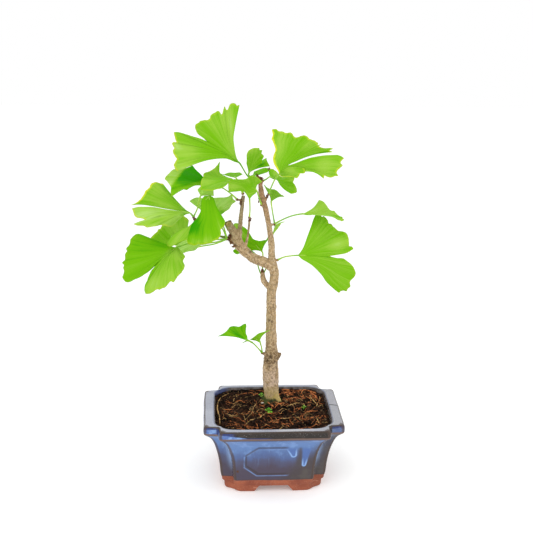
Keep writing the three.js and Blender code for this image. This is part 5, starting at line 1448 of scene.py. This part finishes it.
leaf(
    "leaf_broad", "broad", [(4.8, 14, 241.7), (11.5, 10, 246), (19.5, 6, 248.5), (26, 4, 249.5)],
    [[(46.7, 29, 288.9), (51, 28, 287.9), (53.1, 27, 285.9), (55.2, 27, 286.5), (57.4, 26, 284.5),
     (59.5, 25, 281.9), (60, 24, 279.4), (62.6, 23, 279), (64.7, 22, 276.6), (67.8, 20, 274.2),
     (69.8, 19, 272.4), (72.8, 17, 272.3), (75.7, 15, 272.2), (78.7, 13, 270.5), (80.1, 10, 266.7),
     (80.5, 8, 262.8), (81, 7, 258.3), (83.6, 6, 258.3), (85.1, 5, 256), (83, 5, 254.4)],
     [(83, 5, 254.4), (80.4, 5, 252.7), (76.2, 5, 251), (70.9, 5, 250), (65.5, 5, 249.1), (59.6, 5, 248.1)],
     [(59.6, 5, 248.1), (61.2, 5, 247.6), (67.5, 3, 246.5), (74.9, 3, 245.9), (78.1, 2, 243.7),
      (82.4, 1, 240.5), (85.8, 1, 236.1), (87.5, 1, 232.2), (88, 1, 229.4), (86.8, 2, 225.9),
      (83.9, 3, 222.3), (82.5, 4, 219.2), (83.3, 4, 214.5), (80.9, 5, 211.9), (79.4, 6, 208.4),
      (76.9, 7, 209.1), (73.8, 8, 208.2), (71.7, 8, 206.5), (67.3, 9, 209.3)]],
    sides=[[(26.4, 4, 250.3), (31.5, 9, 256.2), (36.7, 16, 267.7), (41.4, 22, 278.3), (43.8, 26, 284.1)],
     [(28.1, 4, 246.6), (41.3, 6, 237.8), (52.5, 7, 226.2), (57.1, 7, 219.3)]],
    patches=[(68, 8, 260, 7, 9, 0.3), (50, 17, 269, 6, 14, 0.06), (71, 3, 233, 8, 12, 0.05),
     (39, 6, 252, 5, 8, -0.08)],
    flare=1.6, belly=3, teeth=[0.3, 0.1, 0.3], tone=0.47, gold=0.2,
)
leaf(
    "leaf_hood", "hood", [(-38.6, 14, 307.6), (-41, 15, 310), (-47.5, 15, 315.5), (-55.5, 17, 320),
     (-73, 18, 321)],
    [[(-85.6, 38, 339.7), (-91.3, 34, 338.2), (-98.5, 28, 337.5), (-105.6, 22, 337.5), (-108.4, 16, 336.4),
     (-112.3, 10, 333.2), (-113.7, 6, 330.8)],
     [(-113.7, 6, 330.8), (-111.5, 3, 328.4), (-108.8, -1, 326), (-106.6, -5, 324.6), (-106.5, -10, 320.8),
      (-105.4, -14, 317)],
     [(-105.4, -14, 317), (-103.4, -13, 317.9), (-100.4, -10, 319.9), (-96.4, -7, 321.8),
      (-90.5, -2, 321.5)]],
    sides=[[(-73.3, 22, 327), (-74.4, 24, 329.7), (-77.5, 28, 332.7), (-81.8, 33, 335.7)],
     []],
    patches=[(-102, -1, 325, 4, 9, 0.25), (-92, 10, 325, 4, 12, 0.12)],
    folds=[((-91.3, 35, 340.7), (-107.7, -5, 323.6), 1.6, 0.8),
     ((-106.5, -9, 322.3), (-74.4, 22, 326.4), 1.6, 0.42)],
    teeth=[0.3, 0.3, 0.2], tone=0.02,
)
leaf(
    "leaves_grey_twig", "star", [(-32.6, 17, 313.4), (-34.5, 16, 317.5), (-37, 15, 323), (-42, 12, 327)],
    [[(-56.4, 41, 343.5), (-59.6, 36, 341), (-63.8, 31, 337.6), (-67, 26, 335.2), (-69.1, 22, 334.9),
     (-73.2, 17, 335.2), (-74.2, 8, 332.6), (-76.1, -3, 329.5), (-76.5, -14, 324.3)],
     [(-76.5, -14, 324.3), (-70.9, -20, 323.9), (-64.8, -23, 324.4), (-59.8, -23, 326), (-55.8, -22, 326.6),
      (-51.7, -19, 328.3), (-47.6, -11, 330.4), (-44.4, -2, 330.9)]],
    sides=[[(-43, 15, 329.3), (-48.2, 19, 330.2), (-52.3, 23, 331.5), (-56.5, 28, 333.4), (-57, 34, 337.7)],
     []],
    patches=[(-61, 29, 338, 6, 8, 0.15), (-71, -2, 327, 6, 8, 0.15), (-52, 11, 329, 5, 8, -0.12)],
    belly=1, teeth=[0.3, 0.3], gold=0.25,
)
leaf(
    "leaves_grey_twig", "rear", [(-32.6, 17, 313.4), (-33, 20, 319), (-37.5, 21, 326), (-40, 23, 329.5)],
    [[(-55, 44, 330), (-49, 54, 329), (-41, 58, 327), (-35, 56, 329), (-32, 48, 329)]],
    flare=1.6, belly=1, tone=0.4, gold=0.0,
)
leaf(
    "leaf_lamp", "lamp", [(-25.5, 17, 287.4), (-25, 16, 297), (-25.5, 14, 307)],
    [[(-32, 13, 320), (-31, 12, 325), (-26, 12, 327), (-22, 13, 326), (-19, 14, 320)]],
    flare=1.4, belly=1, teeth=[0.2], tone=0.6, shows="under",
)
leaf(
    "leaves_left", "apron", [(-49.4, 14, 265), (-52.5, 8, 278.5), (-59, 2, 296), (-65, -2, 311.5),
     (-67.5, -6, 315.5)],
    [[(-51.8, -18, 292), (-52.8, -22, 287.7), (-56.4, -25, 285.2), (-55.9, -27, 282.6), (-57, -29, 279),
     (-60, -31, 275.9), (-64, -33, 274.6), (-66.6, -34, 272.4), (-71.1, -34, 271.9), (-75.1, -34, 270.9),
     (-79.1, -33, 271.8), (-82.2, -33, 270.6), (-85.2, -32, 270.8), (-89.3, -30, 271.5),
     (-90.3, -30, 273.9)]],
    sides=[[(-63.9, -7, 314.7), (-60.9, -11, 307.2), (-57.8, -14, 301.6), (-54.8, -16, 296.8)],
     [(-73.1, -7, 315.7), (-75.6, -9, 311.9), (-76.2, -13, 304.4), (-77.2, -16, 298.8), (-79.2, -18, 295.2),
      (-84.2, -21, 291.6), (-87.8, -25, 283.2)]],
    patches=[(-83, -23, 288, 5.5, 11, -0.36), (-78, -32, 274, 12, 4, 0.26), (-57, -24, 286, 4, 14, 0.2),
     (-67, -31, 277, 8, 8, 0.12)],
    flare=2.0, belly=3, teeth=[0.4], tone=0.3, gold=0.3,
)
leaf(
    "leaves_left", "flap", [(-49.4, 14, 265), (-52.5, 8, 278.5), (-59, 2, 296), (-65, -2, 311.5),
     (-67.5, -6, 315.5)],
    [[(-110.5, -9, 267.3), (-111.5, -11, 265.6), (-109.3, -14, 264.2), (-102.9, -18, 267.4),
     (-95.6, -23, 271.7), (-89.3, -27, 275.4)]],
    sides=[[(-78.4, -12, 286), (-87.6, -11, 285.1), (-97.9, -10, 280.7), (-106.3, -9, 274.2)],
     [(-79.3, -21, 283.7), (-84.3, -24, 278.8)]],
    patches=[(-98, -16, 276, 3, 14, 0.2)],
    flare=2.0, belly=3, teeth=[0.2], tone=0.56,
)
leaf(
    "leaves_left", "skirt", [(-49.4, 14, 265), (-60, 8, 266), (-72.5, 4, 267), (-88, 1, 264),
     (-102, -2, 260)],
    [[(-139.1, 4, 272.7), (-143.3, 4, 272.9), (-147.2, 1, 271.1), (-149.6, -2, 268.7), (-150, -4, 266.6),
     (-150.4, -6, 264.5), (-152.3, -8, 262.8), (-153.8, -10, 261.1), (-152.6, -11, 258.9),
     (-154.1, -13, 257.2), (-154.7, -15, 254.6), (-154.3, -17, 252), (-155.2, -19, 250.3),
     (-157.1, -21, 248.7), (-155.2, -23, 246.1), (-155.9, -25, 244), (-154.7, -27, 241.9),
     (-155.3, -29, 239.3), (-156.2, -31, 236.7), (-154.4, -33, 234.1), (-152.3, -34, 232.6),
     (-148.2, -35, 232.8), (-144.2, -35, 234.6)],
     [(-144.2, -35, 234.6), (-140.2, -33, 235.7), (-136.3, -31, 237.2), (-132.4, -29, 239.7),
      (-128.4, -26, 242.6), (-124.5, -23, 245.4), (-120.8, -20, 246.9)],
     [(-120.8, -20, 246.9), (-123.5, -24, 244.6), (-126.8, -28, 242.1), (-128.6, -32, 239.6),
      (-130, -35, 236.8), (-130.9, -38, 234.4), (-132.8, -40, 230.8), (-133.4, -42, 226.2),
      (-132.2, -44, 222.6)],
     [(-132.2, -44, 222.6), (-128.7, -44, 222.5), (-125.2, -43, 223.8), (-121.7, -42, 226),
      (-119.8, -41, 226.2), (-118.3, -41, 225.6), (-115.8, -40, 227.1), (-113.3, -39, 227.6),
      (-110.8, -38, 229.6), (-108.8, -36, 231.7), (-106.8, -35, 233.2), (-104.3, -35, 232.1),
      (-102.4, -33, 233.8), (-99.9, -29, 236.5), (-97, -25, 238.5), (-95, -22, 240.7), (-93.8, -19, 242.4),
      (-93.6, -15, 244.7), (-95.2, -12, 247.1), (-94.8, -10, 249.1), (-92.9, -9, 251.5), (-95.3, -9, 254.2),
      (-97.3, -9, 256.5)]],
    patches=[(-119, -3, 262, 4, 12, -0.4), (-129, -9, 258, 3, 14, -0.18), (-102, -10, 253, 5, 8, 0.25),
     (-123, -37, 230, 8, 9, 0.25), (-108, -30, 238, 8, 8, 0.1), (-143, -5, 264, 7, 8, -0.08)],
    folds=[((-122.4, -25, 244.3), (-110.9, -4, 259.9), 1.5, 0.14)],
    flare=1.6, belly=3, teeth=[0.35, 0.1, 0.1, 0.35], tone=0.38, gold=[0.1, 0, 0, 0.2],
)
leaf(
    "leaves_left", "back", [(-49.4, 14, 265), (-61, 18, 259), (-75, 25, 254.5), (-89, 28, 251.5)],
    [[(-131.4, 32, 261.8), (-127.8, 35, 264.9), (-124.1, 38, 267.6), (-123.6, 39, 269.4), (-121, 41, 270.2),
     (-119.5, 43, 273), (-112, 47, 278.3), (-104.4, 49, 282.2), (-99, 50, 284.8), (-95.7, 49, 282.1),
     (-93.5, 49, 280.6), (-90.3, 48, 277.5)]],
    sides=[[(-112.7, 31, 254.3), (-114.9, 30, 252.7), (-120.2, 30, 253.3), (-125.6, 31, 256.5)],
     []],
    patches=[(-100, 37, 265, 7, 18, 0.3), (-116, 36, 264, 6, 10, -0.1)],
    flare=1.6, belly=3, gold=0.35,
)
leaf(
    "leaves_left", "under", [(-49.4, 14, 265), (-59, 12, 262.5), (-69.5, 12, 261)],
    [[(-107, 23, 251.8), (-104.8, 20, 249.8), (-101.5, 16, 249.2), (-95.9, 9, 250.7), (-88.3, 1, 255),
     (-82.9, -4, 259.1), (-79.7, -5, 262.9)]],
    sides=[[(-74.7, 14, 266.1), (-86.4, 17, 265.4), (-99.4, 21, 259)],
     []],
    patches=[(-91, 10, 253, 3, 10, -0.25)],
    belly=1, tone=0.98, gold=0.0, shows="under",
)
leaf(
    "leaves_left", "screen", [(-49.4, 14, 265), (-54, 12, 276.5), (-61, 12, 285), (-65, 12, 290.5)],
    [[(-88.3, 6, 308.2), (-82.8, 14, 309.3), (-76.6, 21, 308), (-70.3, 25, 307), (-64, 29, 306.2),
     (-56.5, 33, 306), (-47.9, 36, 306.4), (-43.6, 39, 308.6)],
     [(-43.6, 39, 308.6), (-42.5, 37, 303.5), (-39.3, 36, 301.5), (-42.6, 34, 299.3), (-46.9, 29, 294.3),
      (-51.3, 25, 292), (-55.5, 21, 289.5)]],
    patches=[(-53, 28, 300, 8, 9, 0.15), (-54, 22, 292, 6, 4, -0.6)],
    teeth=[0.2, 0.3], tone=0.86, gold=0.05, shows="under",
)
leaf(
    "leaves_hidden_twig", "wing", [(-84.4, 9, 290.2), (-86, 6, 293), (-88, 4, 295.5)],
    [[(-116.2, 21, 323.3), (-119.2, 20, 324.1), (-122.2, 18, 325), (-126.3, 16, 324.8), (-128.7, 14, 323.7),
     (-129.6, 11, 321.5), (-132.1, 9, 319.3), (-134.1, 7, 317.6), (-135, 5, 315.4), (-136.9, 2, 312.8),
     (-138.3, 0, 310.7), (-141.7, -4, 308.7), (-147.5, -8, 306.5)]],
    sides=[[],
     [(-98.2, 3, 297.7), (-113.5, 1, 300.8), (-123.6, -1, 303.3), (-127.6, -2, 304.2), (-133.6, -4, 305.7),
      (-140.5, -6, 306.6)]],
    patches=[(-121, 11, 318, 8, 9, 0.15), (-114, 2, 304, 3, 14, 0.15)],
    flare=1.6, teeth=[0.4], gold=[0.9],
)
leaf(
    "leaves_hidden_twig", "wing_low", [(-86, 6, 293), (-88, 4, 295.5)],
    [[(-146, -14, 304.1), (-144.8, -16, 302), (-143.2, -19, 299), (-140.5, -22, 297), (-136.4, -24, 295.9),
     (-133.3, -25, 294.2), (-132.3, -26, 292.4)],
     [(-132.3, -26, 292.4), (-137, -29, 292.1), (-143.1, -34, 292.6)],
     [(-143.1, -34, 292.6), (-139.7, -33, 290.9), (-133, -31, 290.4), (-130.1, -30, 288.1),
      (-126.2, -28, 287.7), (-122.4, -25, 287.9), (-117.7, -19, 288.2), (-112, -13, 285.1),
      (-106.2, -7, 284.2), (-102.2, -3, 286.9), (-99.2, 0, 290), (-97.6, 2, 294.9), (-98.1, 2, 298.1)]],
    sides=[[(-98, 0, 298.2), (-113.2, -5, 301.4), (-123.2, -7, 303.8), (-127.1, -9, 304.7),
     (-133.1, -11, 305.2), (-140, -12, 305.3)],
     []],
    patches=[(-132, -17, 297, 9, 12, 0.15), (-120, -20, 292, 2, 12, -0.5), (-106, -4, 296, 3, 7, -0.35)],
    flare=1.6, teeth=[0.3, 0.1, 0.3], tone=0.8, gold=[0.5, 0.2, 0.35],
)
leaf(
    "leaves_hidden_twig", "pale", [(-84.4, 9, 290.2), (-80, 0, 301.5), (-78, -2, 310.5), (-77, -1, 314)],
    [[(-80, 3, 320), (-76, 4, 324), (-70, 4, 325), (-64, 3, 321), (-63, 1, 314)]],
    flare=1.4, belly=1, teeth=[0.2], tone=0.8, shows="under",
)
leaf(
    "leaves_stub", "dark", [(-10.4, 26, 220.5), (-10.5, 27, 231.5), (-10, 29, 241), (-10.5, 31, 246)],
    [[(-3.3, 44, 260.7), (-3.9, 43, 257), (-8.3, 42, 256.7), (-12.8, 40, 256.1), (-17.3, 39, 257.1)],
     [(-17.3, 39, 257.1), (-20.5, 41, 258.2), (-22.6, 44, 260.9), (-24.7, 46, 264.3), (-26.8, 48, 267.2),
      (-30.1, 49, 269.7), (-32.3, 50, 270.6), (-36.7, 51, 273.2), (-40, 52, 273.3), (-42.2, 51, 271)],
     [(-42.2, 51, 271), (-40, 48, 264.4), (-38, 41, 254.8), (-38.1, 37, 249.1), (-42.5, 35, 246.7),
      (-41.1, 34, 244.3), (-38.1, 34, 242.9)]],
    patches=[(-38, 50, 271, 6, 6, 0.35), (-31, 44, 261, 5, 8, 0.3)],
    teeth=[0.2, 0.2, 0.2], tone=0.32, gold=0.0,
)
leaf(
    "leaves_stub", "nape", [(-10.4, 26, 220.5), (-13, 26, 224.5), (-15.5, 28, 232), (-17, 36, 240)],
    [[(-9, 64, 229), (-14, 74, 229), (-21, 76, 234), (-27, 70, 239), (-31, 60, 245)]],
    tone=0.12, gold=0.0,
)
leaf(
    "leaves_stub", "spine", [(-10.4, 26, 220.5), (-6, 30, 228), (-2, 35, 229)],
    [[(1, 60, 245), (2, 72, 233), (3, 76, 220), (3, 68, 210)]],
    tone=0.2, gold=0.0,
)
leaf(
    "leaves_sprout", "sprout", [(-10.6, 12, 136), (-16.5, 8, 144.5), (-22, 5, 151), (-27.5, 2, 155)],
    [[(-59.8, -11, 164.4), (-56, -8, 165.2), (-50.6, -3, 166.8), (-48.4, 1, 168.1), (-46.2, 6, 168.8),
     (-40.6, 11, 168), (-35, 16, 166.2), (-31.6, 20, 166.6), (-28.8, 23, 166.2), (-27.9, 22, 163.9)]],
    sides=[[(-30, 2, 155.4), (-34.3, 1, 157.3), (-39.8, -1, 159.7), (-46.3, -4, 161.7), (-52.8, -7, 163.3)],
     [(-27.2, 5, 157.4), (-28.6, 10, 159.2), (-28.7, 16, 161.6)]],
    patches=[(-36, 3, 161, 3, 8, -0.25), (-46, -2, 163, 2, 7, 0.15)],
    flare=1.6, belly=3, teeth=[0.2], tone=0.28, gold=0.0,
)
leaf(
    "leaves_sprout", "sprig", [(-10.6, 12, 136), (-11.5, 8, 143.5), (-13.5, 3, 152)],
    [[(-24.1, 12, 151.8), (-20.2, 4, 158.4), (-16.2, -4, 164.2), (-12.3, -10, 167.5), (-8.2, -13, 170.2),
     (-4, -14, 172.1)]],
    sides=[[(-14.6, 4, 151.5), (-16.7, 6, 152.2), (-19.9, 9, 152.1)],
     [(-13.7, 2, 153.9), (-12.8, -1, 158.5), (-10.9, -5, 163.2), (-7.9, -9, 167.6)]],
    belly=1, teeth=[0.2], gold=0.0,
)
leaf(
    "leaves_sprout", "scrap", [(-22, 5, 151), (-26.5, 8, 152)],
    [[(-32, 26, 142), (-29, 31, 143), (-26, 29, 147)]],
    flare=1.3, belly=0, teeth=[0.2], tone=0.35, gold=0.0,
)
leaf_top, tree, shader = named_material("ginkgo_leaf")


def leaf_pattern():
    """A node group that gives a ginkgo blade's colour masks: its streaked shade of green, and fine veins."""
    group = bpy.data.node_groups.new("ginkgo_veins", "ShaderNodeTree")
    for name in ("Across", "Outward", "Tone"):
        group.interface.new_socket(name, in_out="INPUT", socket_type="NodeSocketFloat")
    for name in ("Shade", "Veins"):
        group.interface.new_socket(name, in_out="OUTPUT", socket_type="NodeSocketFloat")
    start, end = group.nodes.new("NodeGroupInput"), group.nodes.new("NodeGroupOutput")
    across, outward = start.outputs["Across"], start.outputs["Outward"]
    place = add_node(group, "CombineXYZ", X=across, Y=times(outward, 3.0)).outputs["Vector"]
    sway = add_node(group, "TexNoise", Vector=place, Scale=0.12)
    lanes = plus(across, times(sway.outputs["Fac"], 2.0))
    veins = None
    for spacing, low, high in ((4.4, -1.0, 0.25), (2.2, 0.2, 0.5), (1.1, 0.45, 0.7)):
        line = within(worked("PINGPONG", lanes, spacing / 2), 0.0, 0.30)
        line = times(line, ramped(outward, low, high))
        veins = line if veins is None else worked("MAXIMUM", veins, line)
    broad = cloud_over(place, 0.16, 3.0, (1.0, 0.5, 1.0), 0.5)
    narrow = cloud_over(place, 0.8, 3.0, (1.0, 0.6, 1.0), 0.5)
    mixed_streaks = plus(times(broad, 0.45), times(narrow, 0.42))
    shade = plus(start.outputs["Tone"], less(mixed_streaks, 0.46))
    shade = worked("SUBTRACT", shade, times(veins, 0.05), clamp=True)
    group.links.new(shade, end.inputs["Shade"])
    group.links.new(veins, end.inputs["Veins"])
    return group


VEIN_GROUP = leaf_pattern()


def leaf_colours(tree, shader, greens, margin, rough, glow):
    """Fills in a leaf face: streaked green, a yellow margin where the leaf has one, raised veins, and a
    painted glow that stands in for light through the blade.
    """
    pattern = add_node(tree, "Group", node_tree=VEIN_GROUP)
    for name in ("Across", "Outward", "Tone"):
        tree.links.new(read_number(tree, name.lower()), pattern.inputs[name])
    shade = pattern.outputs["Shade"]
    colour = mixed(ramped(shade, 0.0, 0.33), greens[0], greens[1])
    colour = layered(colour, (ramped(shade, 0.33, 0.66), greens[2]), (ramped(shade, 0.66, 1.0), greens[3]))
    ragged = worked("MULTIPLY_ADD", cloudy(tree, 260.0, 3.0), 3.4, -1.7)
    margins = None
    for distance, strength in (("inward", "gold"), ("sideways", "gold_side")):
        near = within(plus(read_number(tree, distance), ragged), 0.3, 2.6)
        near = times(near, read_number(tree, strength))
        margins = near if margins is None else worked("MAXIMUM", margins, near)
    colour = mixed(worked("MULTIPLY", margins, 0.95, clamp=True), colour, margin)
    tree.links.new(colour, shader.inputs["Base Color"])
    tree.links.new(colour, shader.inputs["Emission Color"])
    shader.inputs["Emission Strength"].default_value = glow
    shader.inputs["Specular IOR Level"].default_value = 0.02
    uneven = plus(rough, times(cloudy(tree, 250.0), 0.12))
    tree.links.new(uneven, shader.inputs["Roughness"])
    bumped(shader, pattern.outputs["Veins"], 0.00012, 0.45)


leaf_colours(
    tree, shader,
    ((0.032, 0.29, 0.001), (0.155, 0.425, 0.004), (0.285, 0.515, 0.045), (0.40, 0.61, 0.15)),
    (0.66, 0.68, 0.035), 0.45, 0.10,
)
leaf_under, tree, shader = named_material("ginkgo_leaf_underside")
leaf_colours(
    tree, shader,
    ((0.06, 0.32, 0.012), (0.18, 0.46, 0.03), (0.32, 0.58, 0.07), (0.44, 0.68, 0.16)),
    (0.66, 0.68, 0.08), 0.55, 0.10,
)
# the stalks get a painted glow, which lightens them where they lie in shade
stalk_green = two_toned(
    "leaf_stalk", (0.16, 0.41, 0.01), (0.38, 0.58, 0.04), (70.0, 0.35, 0.7), 0.45, 1500.0, 0.0001, glow=0.12
)
bud_scales = two_toned(
    "leaf_bud_scales", (0.12, 0.05, 0.02), (0.33, 0.20, 0.07), (500.0, 0.4, 0.6), 0.7, 1800.0, 0.0002
)
LEAF_FINISHES = (leaf_top, leaf_under, stalk_green, bud_scales)


def teeth_along(lengths, strokes, depths, seed):
    """How far each point of the margin is drawn in, in millimetres: rounded teeth with narrow gaps."""
    spread = np.random.default_rng(seed)
    drawn = np.zeros(len(lengths))
    for (first, last), depth in zip(strokes, depths):
        at = lengths[first]
        while at < lengths[last]:
            width = spread.uniform(2.2, 6.5)
            height = depth * spread.uniform(0.25, 1.15)
            inside = (lengths >= at) & (lengths < at + width) & (lengths <= lengths[last])
            t = (lengths[inside] - at) / width
            drawn[inside] = np.maximum(drawn[inside], height * np.abs(2 * t - 1) ** 2.6)
            at += width
    return drawn


def make_leaf(name, leaf, seed):
    """One blade with its stalk, in the shape of its drawn margin and, where given, its two sides."""
    base = np.array(leaf["stalk"][-1], float)
    rim, strokes = [], []
    for stroke in leaf["edge"]:
        curve = smooth_line(stroke, VEIN_COLUMNS)
        first = len(rim) - 1 if rim else 0
        rim.extend(curve[1:] if rim else curve)
        strokes.append((first, len(rim) - 1))
    rim = np.array(rim)
    axis = rim.mean(axis=0) - base
    axis /= np.linalg.norm(axis)
    face = np.cross(rim[:-1] - base, rim[1:] - base).sum(axis=0)
    face /= np.linalg.norm(face)
    lengths = walked(rim)
    reach = rim - base
    along = (reach @ axis)[:, None] * axis
    aside = reach - along
    far = np.linalg.norm(reach, axis=1)
    drawn = teeth_along(lengths, strokes, leaf["teeth"], seed)
    rows = np.linspace(0.012, 1.0, VEIN_ROWS) ** 0.9
    spread = np.random.default_rng(seed + 100)
    waves = [
        (spread.uniform(14, 40), spread.uniform(0, FULL_TURN), spread.uniform(0.25, 0.7))
        for _ in range(3)
    ]
    sheet = np.zeros((len(rows), len(rim), 3))
    outward = np.zeros((len(rows), len(rim)))
    for r, t in enumerate(rows):
        shrink = 1 - drawn / far * t**3
        part = (t * shrink)[:, None]
        sway = sum(high * np.sin(lengths / wide * FULL_TURN + start) for wide, start, high in waves) * t**2
        bulge = leaf["belly"] * 4 * part * (1 - part)
        sheet[r] = base + along * part + aside * part ** leaf["flare"] + face * (bulge + sway[:, None])
        outward[r] = part[:, 0]
    share = lengths / lengths[-1]
    for line, end, weight in zip(leaf["sides"], (0, -1), ((1 - share) ** 2, share**2)):
        if line:
            side = smooth_line([base, *line, rim[end]], 1.0)
            steps = walked(side)
            place = np.stack([np.interp(rows * steps[-1], steps, side[:, k]) for k in range(3)], axis=1)
            sheet += (place - sheet[:, end])[:, None] * weight[None, :, None]
    to_eye = np.array(CAMERA_EYE) - base
    # Tone, patches and fold shades paint the blade's light and shade into its green along with its own
    # colour: patches lighten or darken it about a point, fold shades on one side of a line seen from the
    # camera.
    tone = np.full(sheet.shape[:2], leaf["tone"])
    veins_run = reach / far[:, None]
    for x, y, z, across, lengthwise, amount in leaf["patches"]:
        gap = sheet - (x, y, z)
        on = (gap * veins_run).sum(axis=2)
        off = np.linalg.norm(gap - on[..., None] * veins_run, axis=2)
        tone += amount * np.exp(-((off / across) ** 2) - (on / lengthwise) ** 2)
    for start, end, soft, amount in leaf["folds"]:
        right_of = np.cross(np.subtract(end, start), to_eye)
        right_of /= np.linalg.norm(right_of)
        tone += amount / (1 + np.exp(-((sheet - start) @ right_of) / soft * 3))
    gold = np.zeros(len(rim))
    for k, (first, last) in enumerate(strokes):
        gold[first:last + 1] = leaf["gold"][k] if isinstance(leaf["gold"], list) else leaf["gold"]
    drawn_on = {
        "across": np.broadcast_to(lengths, tone.shape),
        "outward": outward,
        "inward": (1 - rows)[:, None] * far,
        "sideways": rows[:, None] * (lengths if leaf["gold_side"] == "first" else lengths[-1] - lengths),
        "tone": tone,
        "gold": np.broadcast_to(gold, tone.shape),
        "gold_side": np.full(tone.shape, 1.0 if leaf["gold_side"] else 0.0),
    }
    turn = -1 if (face @ to_eye > 0) == (leaf["shows"] == "top") else 1
    blade, row, column = shaped_grid(name, in_place(sheet[:, ::turn]))
    for kind, values in drawn_on.items():
        painted(blade, kind, values[:, ::turn][row, column])
    coated(blade, *LEAF_FINISHES)
    underside = {"material_offset": 1, "material_offset_rim": 0}
    finished_by(blade, "SOLIDIFY", thickness=BLADE_THICKNESS * MM, offset=0.0, **underside)
    bpy.ops.object.shade_smooth()
    middle = rim[np.argmin(np.abs(lengths - lengths.max() / 2))]
    ribs = []
    for t in (0.05, 0.1, 0.17, 0.26):
        part_reach = middle - base
        straight = (part_reach @ axis) * axis
        point = base + straight * t + (part_reach - straight) * t ** leaf["flare"]
        ribs.append(point + face * leaf["belly"] * 4 * t * (1 - t))
    line = np.vstack([leaf["stalk"], ribs])
    path = smooth_line(line, 1.3)
    share = np.linspace(0, 1, len(path))
    radii = STALK_RADIUS * np.interp(share, [0, 0.05, 0.2, 0.6, 0.85, 1], [1.4, 1.2, 0.85, 0.85, 1.15, 0.35])
    stalk = strands(name + "_stalk", [(path, radii)])
    coated(stalk, *LEAF_FINISHES)
    stalk.data.polygons.foreach_set("material_index", [2] * len(stalk.data.polygons))
    bpy.ops.object.shade_smooth()
    return [blade, stalk]


CAMERA_EYE = (np.array(eye) - POT_MIDDLE) / MM
seed = SEED
for spray, leaves in SPRAYS.items():
    pieces = []
    for name, leaf in leaves.items():
        seed += 1
        pieces += make_leaf(name, leaf, seed)
    start = next(iter(leaves.values()))["stalk"][0]
    bud = ball("bud", start, STALK_RADIUS * 1.9, (1.0, 1.0, 0.9))
    roughened(bud, 900, 0.0003)
    coated(bud, *LEAF_FINISHES)
    bud.data.polygons.foreach_set("material_index", [3] * len(bud.data.polygons))
    whole = joined(spray + "_blades", pieces + [bud])
    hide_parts(spray)
    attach(whole, BODY)

# Seedlings. Young weeds in the soil: a short stem with a ring of small cupped leaves.
SEEDLINGS = [
    # place, size, and for each leaf its turn and how steeply it stands
    ((-4, -9.4), 1.0, [(186, 34), (-6, 42), (-92, 14), (60, 78), (-150, 66), (-40, 8)]),
    ((35.6, -0.6), 0.62, [(200, 30), (-10, 40), (80, 70)]),
    ((-10, 24.6), 0.85, [(170, 40), (10, 30), (90, 75), (-90, 20)]),
]
LEAFLET_THICKNESS = 0.35
seedling_green = two_toned(
    "seedling_green", (0.07, 0.34, 0.012), (0.24, 0.58, 0.04), (350.0, 0.35, 0.65), 0.45, 1400.0, 0.0001
)
for k, (at, big, leaflets) in enumerate(SEEDLINGS):
    foot, tall = soil_height(*at), 0.6
    stem = [(*at, foot - 3), (*at, foot), (*at, foot + tall)]
    pieces = [strands("stem", [(stem, [0.5, 0.45, 0.4])])]
    grow = np.random.default_rng(SEED + 60 + k)
    for turn, steep in leaflets:
        angle, rise, reach = math.radians(turn), math.radians(steep), grow.uniform(0.9, 1.15) * big
        leaf_shape = np.zeros((8, 9, 3))
        for r in range(8):
            for c in range(9):
                u, v = r / 7, (c - 4) / 4
                blade = max(0.0, (u - 0.42) / 0.58)
                round_part = math.sin(math.pi * min(1, blade * 0.94 + 0.03)) ** 0.6 * (blade > 0)
                wide = (0.16 + 1.25 * round_part) * reach
                out = 4.8 * u * reach
                cup = 0.45 * v * v * wide - 0.8 * u * u * reach
                x = math.cos(angle) * out * math.cos(rise) - math.sin(angle) * v * wide
                y = math.sin(angle) * out * math.cos(rise) + math.cos(angle) * v * wide
                leaf_shape[r, c] = (at[0] + x, at[1] + y, foot + tall - 0.3 + out * math.sin(rise) + cup)
        leaflet, _, _ = shaped_grid("leaflet", in_place(leaf_shape))
        finished_by(leaflet, "SOLIDIFY", thickness=LEAFLET_THICKNESS * MM, offset=0.0)
        pieces.append(leaflet)
    weed = joined(f"weed_{k + 1}", pieces)
    coated(weed, seedling_green)
    bpy.ops.object.shade_smooth()
    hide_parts(f"seedling_{k + 1}")
    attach(weed, BODY)
